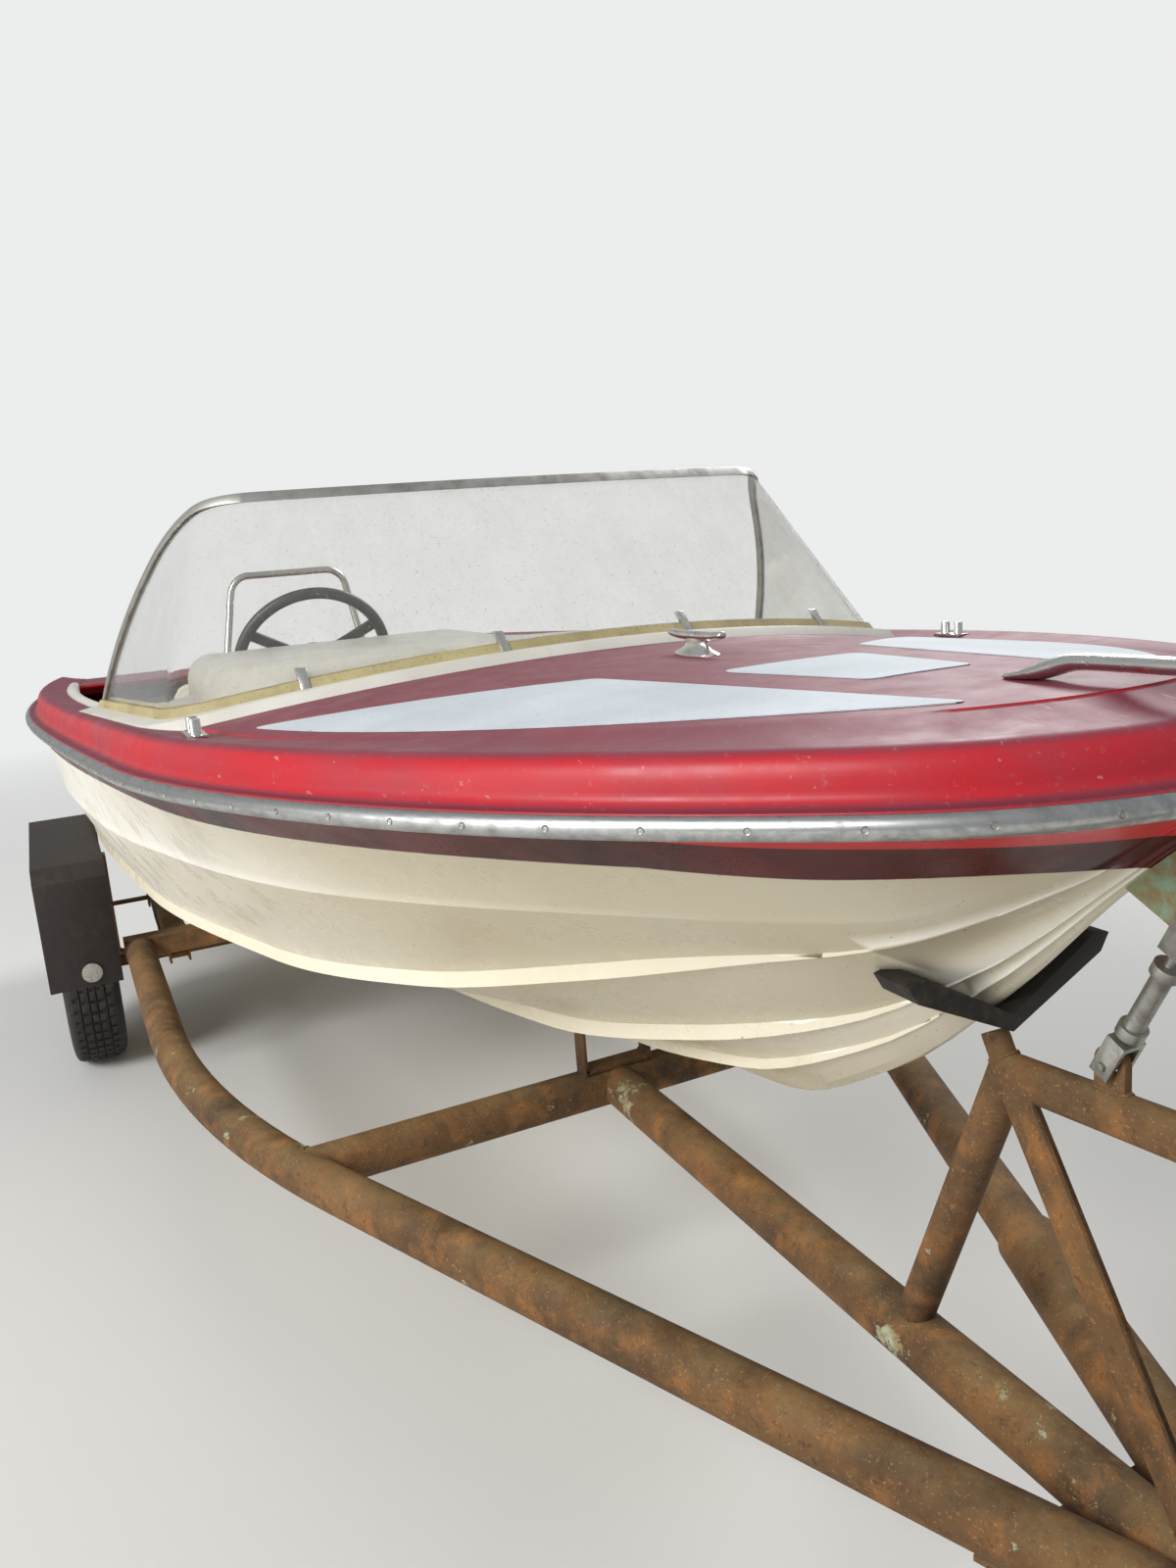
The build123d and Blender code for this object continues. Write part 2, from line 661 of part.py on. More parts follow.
# Transom cut-out for the motor and the well ahead of it
with BuildPart() as hull:
    add(hull_form.part)
    add(hull_inside.part, mode=Mode.SUBTRACT)
    box_between(
        (x_at(BOAT_LENGTH) - 1, -WELL_HALF, MOTOR_TOP_Z),
        (x_at(WELL_AFT), WELL_HALF, SHEER_BOW_Z),
        mode=Mode.SUBTRACT,
    )
finish(hull, "hull")

with BuildPart() as motor_well:
    box_between(
        (x_at(BOAT_LENGTH - TRANSOM) + SEAT_GAP, -WELL_HALF + SEAT_GAP, MOTOR_TOP_Z - 60),
        (x_at(WELL_AFT) - SEAT_GAP, WELL_HALF - SEAT_GAP, deck_end_z + CREASE_HEIGHT),
    )
    box_between(
        (x_at(BOAT_LENGTH - TRANSOM) - 1, -WELL_HALF + LINER_SKIN, MOTOR_TOP_Z - 60 + LINER_SKIN),
        (x_at(WELL_AFT) - LINER_SKIN, WELL_HALF - LINER_SKIN, deck_end_z + 2 * CREASE_HEIGHT),
        mode=Mode.SUBTRACT,
    )
finish(motor_well, "motor_well")

with BuildPart() as motor_pad:
    box_between(
        (x_at(BOAT_LENGTH) - PAD_THICK - SEAT_GAP, -MOTOR_PAD[0] / 2, MOTOR_TOP_Z - MOTOR_PAD[1]),
        (x_at(BOAT_LENGTH) - SEAT_GAP, MOTOR_PAD[0] / 2, MOTOR_TOP_Z),
    )
    fillet(motor_pad.edges().filter_by(Axis.X), 12)
finish(motor_pad, "motor_pad")

with BuildPart() as rub_rail:
    with BuildSketch(rail_section) as rail_profile:
        with BuildLine():
            Line((-SEAT_GAP, -RAIL_HEIGHT / 2), (-SEAT_GAP, RAIL_HEIGHT / 2))
            Line((-SEAT_GAP, RAIL_HEIGHT / 2), (-4, RAIL_HEIGHT / 2))
            ThreePointArc((-4, RAIL_HEIGHT / 2), (-RAIL_PROUD, 0), (-4, -RAIL_HEIGHT / 2))
            Line((-4, -RAIL_HEIGHT / 2), (-SEAT_GAP, -RAIL_HEIGHT / 2))
        make_face()
    sweep(sections=rail_profile.sketch, path=sheer_path)
finish(rub_rail, "rub_rail")

# Cockpit liner: a board under the inner edge of the side deck with a rolled lip on top
with BuildPart() as coaming:
    with BuildSketch(rail_section) as coaming_section:
        with BuildLine():
            board_in = CREASE_IN + LINER_SKIN
            lip_foot = CREASE_HEIGHT + 2 * SEAT_GAP
            lip_out = (CREASE_IN - LIP_OUT, CREASE_HEIGHT + 4)
            Polyline(
                lip_out, (CREASE_IN + SEAT_GAP, lip_foot),
                (CREASE_IN + SEAT_GAP, CREASE_HEIGHT - COAMING_DEPTH),
                (board_in, CREASE_HEIGHT - COAMING_DEPTH), (board_in, CREASE_HEIGHT + 7),
            )
            ThreePointArc((board_in, CREASE_HEIGHT + 7), (CREASE_IN - 8, CREASE_HEIGHT + LIP_HEIGHT), lip_out)
        make_face()
    sweep(sections=coaming_section.sketch, path=sheer_path)
    box_between(
        (x_at(AFT_DECK) + 4, -BOAT_LENGTH, 0), (x_at(FOREDECK_END), BOAT_LENGTH, SCREEN_HIGH_Z),
        mode=Mode.INTERSECT,
    )
finish(coaming, "coaming")


# Dash: white top inside the windscreen, fascia and raised cowl

with BuildPart() as dash:
    add(screen_solid(-SCREEN_GLASS - PLINTH_IN - SEAT_GAP))
    add(crown_sheet(0, -LINER_SKIN), mode=Mode.INTERSECT)
    add(plumb_plate(SCREEN_LOW_Z - 100, SCREEN_HIGH_Z, 0, 0, DASH_AFT), mode=Mode.INTERSECT)
    box_between(
        (x_at(DASH_AFT), -DASH_HALF, crown_z(DASH_AFT, DASH_HALF) - FASCIA_DEPTH),
        (x_at(DASH_AFT) + LINER_SKIN, DASH_HALF, crown_z(DASH_AFT, DASH_HALF)),
    )
    add(deck.part, mode=Mode.SUBTRACT)
finish(dash, "dash")

with BuildPart() as dash_cowl:
    cowl_low = crown_z(DASH_AFT, 0) - 60
    box_between(
        (x_at(DASH_AFT), COWL[0], cowl_low),
        (x_at(COWL[2]), COWL[1], crown_z(COWL[2], 0) + COWL[3]),
    )
    fillet(dash_cowl.edges().filter_by(Axis.X).group_by(Axis.Z)[-1], COWL_SHOULDER)
    fillet(dash_cowl.faces().sort_by(Axis.X)[-1].edges().group_by(Axis.Z)[-1], COWL_FRONT_ROUND)
    add(screen_solid(-SCREEN_GLASS - PLINTH_IN - 8), mode=Mode.INTERSECT)
    add(crown_sheet(SEAT_GAP, -BOAT_LENGTH / 4), mode=Mode.SUBTRACT)
finish(dash_cowl, "dash_cowl")

gauge_z = crown_z(DASH_AFT, 0) - 45
with BuildPart() as gauges:
    with BuildSketch(Plane.YZ.offset(x_at(DASH_AFT) - SEAT_GAP)):
        with Locations(*[(y, gauge_z) for y in GAUGES_Y]):
            Circle(GAUGE_RADIUS)
    extrude(amount=-10)
    with BuildSketch(Plane.YZ.offset(x_at(DASH_AFT) - SEAT_GAP - 10)):
        with Locations(*[(y, gauge_z) for y in GAUGES_Y]):
            Circle(GAUGE_RADIUS - 6)
    extrude(amount=4, mode=Mode.SUBTRACT)
finish(gauges, "gauges")

wheel_axis = Vector(-math.cos(math.radians(WHEEL_TILT)), 0, math.sin(math.radians(WHEEL_TILT)))
wheel_centre = Vector(x_at(WHEEL_CENTRE[0]), WHEEL_CENTRE[1], WHEEL_CENTRE[2])
wheel_plane = Plane(origin=wheel_centre, x_dir=(0, 1, 0), z_dir=wheel_axis)

with BuildPart() as steering_column:
    reach = (wheel_centre.X - x_at(DASH_AFT)) / wheel_axis.X
    round_bar(wheel_centre - wheel_axis * (reach - 1), wheel_centre - wheel_axis * 36, COLUMN)
    add(dash.part, mode=Mode.SUBTRACT)
    box_between(
        (x_at(DASH_AFT), COWL[0], 1000), (x_at(DASH_AFT) + 100, COWL[1], 1400), mode=Mode.SUBTRACT
    )
finish(steering_column, "steering_column")

with BuildPart() as steering_wheel:
    with BuildSketch(wheel_plane.offset(-20)) as wheel_hub:
        Circle(38)
    extrude(wheel_hub.sketch, amount=30)
    spoke_length = WHEEL_RADIUS - WHEEL_RIM
    with BuildSketch(wheel_plane.offset(-5)) as spokes:
        with PolarLocations(spoke_length / 2 + 4, 3, start_angle=90):
            Rectangle(spoke_length, 22)
    extrude(spokes.sketch, amount=8)
    # The seam of the ring lies between two spokes
    with Locations(wheel_plane.location * Location((0, 0, 0), (0, 0, 50))):
        Torus(WHEEL_RADIUS - WHEEL_RIM / 2, WHEEL_RIM / 2)
finish(steering_wheel, "steering_wheel")

# Cockpit sole and back-to-back seats

with BuildPart() as cockpit_sole:
    add(hull_inside.part)
    box_between(
        (x_at(BOAT_LENGTH - TRANSOM), -BOAT_LENGTH, SOLE_Z),
        (x_at(SOLE_FROM), BOAT_LENGTH, SOLE_Z + SOLE_THICK),
        mode=Mode.INTERSECT,
    )
finish(cockpit_sole, "cockpit_sole")

seat_end = SEAT_FRONT + 2 * SEAT_LENGTH + BACK_THICK
with BuildPart() as seat_bases:
    for seat_y in (SEAT_Y, -SEAT_Y):
        box_between(
            (x_at(seat_end), seat_y - SEAT_WIDTH / 2, SOLE_Z + SOLE_THICK),
            (x_at(SEAT_FRONT), seat_y + SEAT_WIDTH / 2, SEAT_BASE_TOP),
        )
    fillet(seat_bases.edges().filter_by(Axis.Z), 40)
finish(seat_bases, "seat_bases")

with BuildPart() as seat_cushions:
    for seat_y in (SEAT_Y, -SEAT_Y):
        for cushion_front in (SEAT_FRONT, SEAT_FRONT + SEAT_LENGTH + BACK_THICK):
            box_between(
                (x_at(cushion_front + SEAT_LENGTH) + 1, seat_y - SEAT_WIDTH / 2, SEAT_BASE_TOP + SEAT_GAP),
                (x_at(cushion_front) - 1, seat_y + SEAT_WIDTH / 2, SEAT_BASE_TOP + CUSHION_THICK),
            )
    fillet(seat_cushions.edges().filter_by(Axis.Z), 40)
finish(seat_cushions, "seat_cushions")

with BuildPart() as seat_backs:
    for seat_y in (SEAT_Y, -SEAT_Y):
        box_between(
            (
                x_at(SEAT_FRONT + SEAT_LENGTH + BACK_THICK) + 1, seat_y - SEAT_WIDTH / 2,
                SEAT_BASE_TOP + SEAT_GAP,
            ),
            (x_at(SEAT_FRONT + SEAT_LENGTH) - 1, seat_y + SEAT_WIDTH / 2, BACK_TOP),
        )
    fillet(seat_backs.edges().filter_by(Axis.X).group_by(Axis.Z)[-1], 60)
finish(seat_backs, "seat_backs")

# Chrome fittings on deck

hoop_z = sheer_z(HOOP_AFT) + CREASE_HEIGHT + SEAT_GAP
with BuildPart() as ski_hoop:
    with BuildLine() as hoop_line:
        FilletPolyline(
            (x_at(HOOP_AFT), -HOOP_BASE, hoop_z + 4),
            (x_at(HOOP_AFT), -HOOP_TOP_HALF, HOOP_TOP_Z),
            (x_at(HOOP_AFT), HOOP_TOP_HALF, HOOP_TOP_Z),
            (x_at(HOOP_AFT), HOOP_BASE, hoop_z + 4),
            radius=70,
        )
    with BuildSketch(Plane(origin=hoop_line.line @ 0, z_dir=hoop_line.line % 0)) as hoop_ring:
        Circle(HOOP_TUBE / 2)
    sweep(sections=hoop_ring.sketch, path=hoop_line.line)
    with BuildSketch(sheer_plane.offset(CREASE_HEIGHT + SEAT_GAP)) as hoop_feet:
        with Locations((-HOOP_AFT, HOOP_BASE), (-HOOP_AFT, -HOOP_BASE)):
            Circle(HOOP_TUBE)
    extrude(hoop_feet.sketch, amount=6)
finish(ski_hoop, "ski_hoop")

# The cleat is one casting: an oval base, a waist and two horns with a flat top
cleat_z = crown_z(CLEAT_AFT, 0)
horn_length, horn_width, cleat_height, base_length, base_width = CLEAT
with BuildPart() as deck_cleat:
    # (height, half length, half width) of the casting from the base up to the horns
    for level in ((0, 0.5, 0.5), (5, 0.46, 0.44), (12, 0.24, 0.24), (22, 0.15, 0.2), (26, 0.2, 0.2)):
        with BuildSketch(Plane.XY.offset(cleat_z - 2 + level[0])):
            with Locations((x_at(CLEAT_AFT), 0)):
                Ellipse(base_length * level[1], base_width * level[2])
    loft(ruled=True)
    with BuildSketch(Plane.XZ) as horns:
        with BuildLine():
            half, low, high = horn_length / 2, cleat_z + cleat_height - 11, cleat_z + cleat_height
            x_mid = x_at(CLEAT_AFT)
            Polyline(
                (x_mid - half, high - 2), (x_mid - 24, high), (x_mid + 24, high), (x_mid + half, high - 2),
                (x_mid + half, high - 7), (x_mid + 18, low), (x_mid - 18, low),
                (x_mid - half, high - 7), close=True,
            )
        make_face()
    extrude(horns.sketch, amount=horn_width / 2, both=True)
    fillet(deck_cleat.faces().sort_by(Axis.X)[-1].edges().filter_by(Axis.Z), 6)
    fillet(deck_cleat.faces().sort_by(Axis.X)[0].edges().filter_by(Axis.Z), 6)
    add(crown_sheet(SEAT_GAP, -BOAT_LENGTH / 4), mode=Mode.SUBTRACT)
finish(deck_cleat, "deck_cleat")

with BuildPart() as deck_bollards:
    for side in (1, -1):
        base_z = sheer_z(BOLLARD[0]) + (BULGE_HEIGHT + CREASE_HEIGHT) / 2 + 3
        box_between(
            (x_at(BOLLARD[0]) - 34, side * BOLLARD[1] - 14, base_z - 2),
            (x_at(BOLLARD[0]) + 34, side * BOLLARD[1] + 14, base_z + 4),
        )
        for post_x in (-17, 17):
            post = (x_at(BOLLARD[0]) + post_x, side * BOLLARD[1])
            round_bar((*post, base_z), (*post, base_z + 26), 16)
    add(roll_bed, mode=Mode.SUBTRACT)
    add(crown_sheet(SEAT_GAP, -BOAT_LENGTH / 4), mode=Mode.SUBTRACT)
finish(deck_bollards, "deck_bollards")

with BuildPart() as bow_handle:
    foot_z = crown_z(HANDLE[0], 0) + SEAT_GAP
    with BuildLine() as handle_line:
        FilletPolyline(
            (x_at(HANDLE[0]), 0, foot_z),
            (x_at(HANDLE[0]) + 26, 0, foot_z + HANDLE_RISE),
            (x_at(HANDLE[1]) - 14, 0, foot_z + HANDLE_RISE),
            (x_at(HANDLE[1]), 0, foot_z - 6),
            radius=12,
        )
    bar_start = Plane(origin=handle_line.line @ 0, x_dir=(0, 1, 0), z_dir=handle_line.line % 0)
    with BuildSketch(bar_start) as handle_bar:
        Ellipse(HANDLE_BAR[0] / 2, HANDLE_BAR[1] / 2)
    sweep(sections=handle_bar.sketch, path=handle_line.line)
    with BuildSketch(Plane.XY.offset(foot_z - 4)) as handle_feet:
        with Locations((x_at(HANDLE[0]) - HANDLE_FOOT[0] / 4, 0)):
            Ellipse(HANDLE_FOOT[0] / 2, HANDLE_FOOT[1] / 2)
    extrude(handle_feet.sketch, amount=4 + HANDLE_FOOT[2])
    add(crown_sheet(SEAT_GAP, -BOAT_LENGTH / 4), mode=Mode.SUBTRACT)
    add(deck.part, mode=Mode.SUBTRACT)
finish(bow_handle, "bow_handle")

with BuildPart() as foredeck_pads:
    for side in (1, -1):
        with BuildSketch(Plane.XY.offset(SCREEN_LOW_Z)) as wedge:
            with BuildLine():
                Polyline(
                    (x_at(125), side * 118), (x_at(790), side * 215), (x_at(1130), side * 668),
                    (x_at(900), side * 900), (x_at(0), side * 300), close=True,
                )
            make_face()
        extrude(wedge.sketch, amount=SCREEN_HIGH_Z - SCREEN_LOW_Z)
    add(plumb_plate(SCREEN_LOW_Z, SCREEN_HIGH_Z, CREASE_IN + 28, 0, FOREDECK_END), mode=Mode.INTERSECT)
    add(screen_solid(PLINTH_OUT + 45), mode=Mode.SUBTRACT)
    with BuildSketch(Plane.XY.offset(SCREEN_LOW_Z)) as middle_pad:
        with BuildLine():
            Polyline((x_at(400), 72), (x_at(400), -72), (x_at(655), -108), (x_at(655), 108), close=True)
        make_face()
        fillet(middle_pad.vertices(), 18)
    extrude(middle_pad.sketch, amount=SCREEN_HIGH_Z - SCREEN_LOW_Z)
    add(crown_sheet(SEAT_GAP + 1.2, SEAT_GAP), mode=Mode.INTERSECT)
finish(foredeck_pads, "foredeck_pads")


# Trailer frame

def half_at(aft):
    """Half spacing of the straight part of the side tubes."""
    return SIDE_TUBE_APEX + SIDE_TUBE_SLOPE * aft


def side_tube_line(side):
    """Centre line of a side tube, from the apex to the rear beam."""
    corner_aft = (SIDE_TUBE_HALF - SIDE_TUBE_APEX) / SIDE_TUBE_SLOPE
    with BuildLine() as line:
        FilletPolyline(
            (x_at(-60), side * half_at(-60), TUBE_Z),
            (x_at(corner_aft), side * SIDE_TUBE_HALF, TUBE_Z),
            (x_at(REAR_BEAM_AFT - BEAM / 2 - SEAT_GAP), side * SIDE_TUBE_HALF, TUBE_Z),
            radius=SIDE_TUBE_BEND,
        )
    return line.line


with BuildPart() as centre_tube:
    round_bar((x_at(NOSE_TUBE_AFT), 0, TUBE_Z), (x_at(CROSS_TUBE_AFT), 0, TUBE_Z), TUBE)
    round_bar(
        (x_at(CROSS_TUBE_AFT), -BEAM, TUBE_Z), (x_at(CROSS_TUBE_AFT), BEAM, TUBE_Z), TUBE + 2 * SEAT_GAP,
        mode=Mode.SUBTRACT,
    )
    # The plate clears the sleeve on the port tube and is welded to this one by a strip
    plate_top = TUBE_Z - SLEEVE / 2 - SEAT_GAP
    with BuildSketch(Plane.XY.offset(plate_top - APEX_THICK)) as apex_plate:
        with BuildLine():
            plate_side = [(x_at(aft), half) for aft, half in APEX_PLATE]
            Polyline(*plate_side, *[(x, -half) for x, half in reversed(plate_side)], close=True)
        make_face()
    extrude(apex_plate.sketch, amount=APEX_THICK)
    box_between(
        (x_at(APEX_PLATE[1][0]), -6, plate_top - 1), (x_at(APEX_PLATE[0][0]), 6, TUBE_Z - TUBE / 2 + 2)
    )
finish(centre_tube, "centre_tube")

side_tubes = {}
for side_name, side in (("port_tube", 1), ("starboard_tube", -1)):
    with BuildPart() as side_tube:
        tube_line = side_tube_line(side)
        with BuildSketch(Plane(origin=tube_line @ 0, z_dir=tube_line % 0)) as tube_ring:
            Circle(TUBE / 2)
        sweep(sections=tube_ring.sketch, path=tube_line)
        if side == 1:
            # A repair sleeve over the front of the port tube
            sleeve_ends = [(x_at(aft), half_at(aft), TUBE_Z) for aft in SLEEVE_AFTS]
            round_bar(*sleeve_ends, SLEEVE)
        round_bar(
            (x_at(NOSE_TUBE_AFT), 0, TUBE_Z), (x_at(CROSS_TUBE_AFT), 0, TUBE_Z), TUBE + 2 * SEAT_GAP,
            mode=Mode.SUBTRACT,
        )
        box_between((x_at(CROSS_TUBE_AFT), -side * 400, 0), (x_at(-200), 0, 1000), mode=Mode.SUBTRACT)
    side_tubes[side_name] = side_tube
    finish(side_tube, side_name)

cross_half = half_at(CROSS_TUBE_AFT)
with BuildPart() as front_cross_tube:
    round_bar((x_at(CROSS_TUBE_AFT), -cross_half, TUBE_Z), (x_at(CROSS_TUBE_AFT), cross_half, TUBE_Z), TUBE)
    for side in (1, -1):
        start = Vector(x_at(CROSS_TUBE_AFT - 300), side * half_at(CROSS_TUBE_AFT - 300), TUBE_Z)
        end = Vector(x_at(CROSS_TUBE_AFT + 300), side * half_at(CROSS_TUBE_AFT + 300), TUBE_Z)
        round_bar(start, end, TUBE + 2 * SEAT_GAP, mode=Mode.SUBTRACT)
    for side_tube in side_tubes.values():
        add(side_tube.part, mode=Mode.SUBTRACT)
finish(front_cross_tube, "front_cross_tube")

rail_low = TUBE_Z - BEAM / 2
rail_high = TUBE_Z + BEAM / 2
with BuildPart() as rear_frame:
    beam_halves = ((REAR_BEAM_AFT, SIDE_TUBE_HALF + TUBE / 2), (TAIL_BEAM_AFT, RAIL_HALF + BEAM / 2))
    for beam_aft, half_length in beam_halves:
        box_between(
            (x_at(beam_aft) - BEAM / 2, -half_length, rail_low),
            (x_at(beam_aft) + BEAM / 2, half_length, rail_high),
        )
    fillet(rear_frame.edges().filter_by(Axis.Y), 6)
    for side in (1, -1):
        box_between(
            (x_at(TAIL_BEAM_AFT), side * RAIL_HALF - BEAM / 2 + 2, rail_low + 1),
            (x_at(REAR_BEAM_AFT), side * RAIL_HALF + BEAM / 2 - 2, rail_high - 1),
        )
finish(rear_frame, "rear_frame")

# Running gear

stub_end = TRACK_HALF + 30
with BuildPart() as axle:
    axle_half = TRACK_HALF - 95
    round_bar((x_at(AXLE_AFT), -axle_half, AXLE_Z), (x_at(AXLE_AFT), axle_half, AXLE_Z), AXLE_DIAMETER)
    round_bar((x_at(AXLE_AFT), -stub_end, AXLE_Z), (x_at(AXLE_AFT), stub_end, AXLE_Z), STUB)
finish(axle, "axle")

leaf_low = AXLE_Z + AXLE_DIAMETER / 2 + SEAT_GAP
leaf_top = leaf_low + len(LEAVES) * LEAF
spring_radius = (LEAVES[0] ** 2 + SPRING_RISE**2) / (2 * SPRING_RISE)


def leaf_point(along, depth):
    """A point of a leaf, so far from the middle of the spring and so far below its top, as (x, z)."""
    angle = math.asin(along / spring_radius)
    reach = spring_radius + depth
    return (x_at(AXLE_AFT) + reach * math.sin(angle), leaf_top + spring_radius - reach * math.cos(angle))


with BuildPart() as leaf_springs:
    for side in (1, -1):
        for leaf, half_length in enumerate(LEAVES):
            with BuildSketch(Plane.XZ.offset(-side * RAIL_HALF - LEAF_WIDTH / 2)) as leaf_side:
                with BuildLine():
                    top = [leaf_point(a, leaf * LEAF) for a in (-half_length, 0, half_length)]
                    low = [leaf_point(a, (leaf + 1) * LEAF) for a in (-half_length, 0, half_length)]
                    ThreePointArc(*top)
                    Line(top[-1], low[-1])
                    ThreePointArc(*reversed(low))
                    Line(low[0], top[0])
                make_face()
            extrude(leaf_side.sketch, amount=LEAF_WIDTH)
        for end in (-1, 1):
            eye_x, eye_z = leaf_point(end * LEAVES[0], LEAF / 2)
            round_bar(
                (eye_x, side * RAIL_HALF - LEAF_WIDTH / 2, eye_z),
                (eye_x, side * RAIL_HALF + LEAF_WIDTH / 2, eye_z),
                22,
            )
finish(leaf_springs, "leaf_springs")

with BuildPart() as spring_hangers:
    for side in (1, -1):
        for end in (-1, 1):
            eye_x, eye_z = leaf_point(end * LEAVES[0], LEAF / 2)
            for cheek in (-1, 1):
                cheek_y = side * RAIL_HALF + cheek * (LEAF_WIDTH / 2 + 3.5)
                box_between(
                    (eye_x - 20, cheek_y - 3, eye_z - 20), (eye_x + 20, cheek_y + 3, rail_low - SEAT_GAP)
                )
            box_between(
                (eye_x - 20, side * RAIL_HALF - LEAF_WIDTH / 2 - 6.5, rail_low - 6),
                (eye_x + 20, side * RAIL_HALF + LEAF_WIDTH / 2 + 6.5, rail_low - SEAT_GAP),
            )
    add(leaf_springs.part, mode=Mode.SUBTRACT)
finish(spring_hangers, "spring_hangers")

for wheel_name, side in (("port", 1), ("starboard", -1)):
    hub = (x_at(AXLE_AFT), side * TRACK_HALF, AXLE_Z)
    wheel_axis_line = Axis(hub, (0, 1, 0))
    section_plane = Plane(origin=hub, x_dir=(0, side, 0), z_dir=(side, 0, 0))
    with BuildPart() as tyre:
        with BuildSketch(section_plane) as tyre_section:
            with BuildLine():
                Polyline(
                    (-BEAD, RIM_FLANGE + 1), (-BEAD, RIM_RADIUS), (BEAD, RIM_RADIUS), (BEAD, RIM_FLANGE + 1)
                )
                ThreePointArc((BEAD, RIM_FLANGE + 1), (TYRE_WIDTH / 2, TYRE_WAIST), (SHOULDER, TYRE_RADIUS - 8))
                ThreePointArc((SHOULDER, TYRE_RADIUS - 8), (0, TYRE_RADIUS), (-SHOULDER, TYRE_RADIUS - 8))
                ThreePointArc(
                    (-SHOULDER, TYRE_RADIUS - 8), (-TYRE_WIDTH / 2, TYRE_WAIST), (-BEAD, RIM_FLANGE + 1)
                )
            make_face()
        revolve(tyre_section.sketch, axis=wheel_axis_line)
    finish(tyre, f"{wheel_name}_tyre")

    with BuildPart() as rim:
        with BuildSketch(section_plane) as rim_side:
            with BuildLine():
                Polyline(
                    (-66, RIM_FLANGE), (-57, RIM_FLANGE), (-57, RIM_RADIUS - 1),
                    (-40, RIM_RADIUS - 4), (-26, RIM_RADIUS - 24), (26, RIM_RADIUS - 24),
                    (40, RIM_RADIUS - 4), (57, RIM_RADIUS - 1), (57, RIM_FLANGE), (66, RIM_FLANGE),
                    (66, RIM_RADIUS - 6), (42, RIM_RADIUS - 9), (30, RIM_RADIUS - 29),
                    (14, RIM_RADIUS - 29), (24, 84), (18, 62), (18, 34), (34, 30), (34, STUB / 2 + HUB_GAP),
                    (-60, STUB / 2 + HUB_GAP), (-60, 30), (12, 34), (12, 64), (18, 82), (9, RIM_RADIUS - 29),
                    (-30, RIM_RADIUS - 29), (-42, RIM_RADIUS - 9), (-66, RIM_RADIUS - 6), close=True,
                )
            make_face()
        revolve(rim_side.sketch, axis=wheel_axis_line)
        with BuildSketch(Plane(origin=hub, x_dir=(1, 0, 0), z_dir=(0, 1, 0))) as hand_holes:
            with PolarLocations(108, 8):
                Circle(13)
        extrude(hand_holes.sketch, amount=60, both=True, mode=Mode.SUBTRACT)
    finish(rim, f"{wheel_name}_rim")

with BuildPart() as mudguards:
    for side in (1, -1):
        with BuildSketch(Plane.XZ.offset(-side * (GUARD[2] + GUARD[3]) / 2)) as guard_side:
            with BuildLine() as guard_line:
                Polyline(
                    (x_at(GUARD[0]), GUARD_LOW), (x_at(GUARD[0]), GUARD_TOP - 30),
                    (x_at(GUARD[0] + 60), GUARD_TOP), (x_at(GUARD[1] - 120), GUARD_TOP),
                    (x_at(GUARD[1]), GUARD_TOP - 120), (x_at(GUARD[1]), GUARD_LOW + 60),
                )
                offset(amount=GUARD_SHEET, side=Side.RIGHT)
            make_face()
        extrude(guard_side.sketch, amount=(GUARD[3] - GUARD[2]) / 2, both=True)
finish(mudguards, "mudguards")

with BuildPart() as guard_brackets:
    for side in (1, -1):
        for bracket_aft in (GUARD[0] + 140, GUARD[1] - 200):
            box_between(
                (x_at(bracket_aft) - 20, side * (RAIL_HALF + BEAM / 2 - 2 + SEAT_GAP), rail_low + 6),
                (x_at(bracket_aft) + 20, side * (GUARD[2] - 2), rail_low + 12),
            )
            box_between(
                (x_at(bracket_aft) - 20, side * (GUARD[2] - 8), rail_low + 6),
                (x_at(bracket_aft) + 20, side * (GUARD[2] - 2), GUARD_TOP - 12),
            )
            box_between(
                (x_at(bracket_aft) - 20, side * (GUARD[2] - 8), GUARD_TOP - 6 - SEAT_GAP),
                (x_at(bracket_aft) + 20, side * (GUARD[2] + 60), GUARD_TOP - SEAT_GAP),
            )
            box_between(
                (x_at(bracket_aft) - 20, side * (GUARD[2] - 8), GUARD_TOP - 14),
                (x_at(bracket_aft) + 20, side * (GUARD[2] - 2), GUARD_TOP - SEAT_GAP),
            )
finish(guard_brackets, "guard_brackets")

with BuildPart() as reflectors:
    for side in (1, -1):
        with Locations(Location((x_at(GUARD[0]) + GUARD_SHEET + 4, side * (GUARD[2] + 75), 400), (0, 90, 0))):
            Cylinder(REFLECTOR, 7)
finish(reflectors, "reflectors")

# Bunks, rollers and chock are shaped to the hull that lies on them

hull_bed = hull_form.part.moved(Location((SEAT_GAP, 0, -SEAT_GAP)))
bunk_front, bunk_end, bunk_y, bunk_width = BUNK
with BuildPart() as bunks:
    for side in (1, -1):
        box_between(
            (x_at(bunk_end), side * bunk_y - bunk_width / 2, SOLE_Z - 75),
            (x_at(bunk_front), side * bunk_y + bunk_width / 2, SOLE_Z),
        )
    add(hull_bed, mode=Mode.SUBTRACT)
    box_between(
        (x_at(bunk_end) - 10, -BOAT_LENGTH, SOLE_Z - 15), (x_at(bunk_front) + 10, BOAT_LENGTH, SOLE_Z + 10),
        mode=Mode.SUBTRACT,
    )
finish(bunks, "bunks")

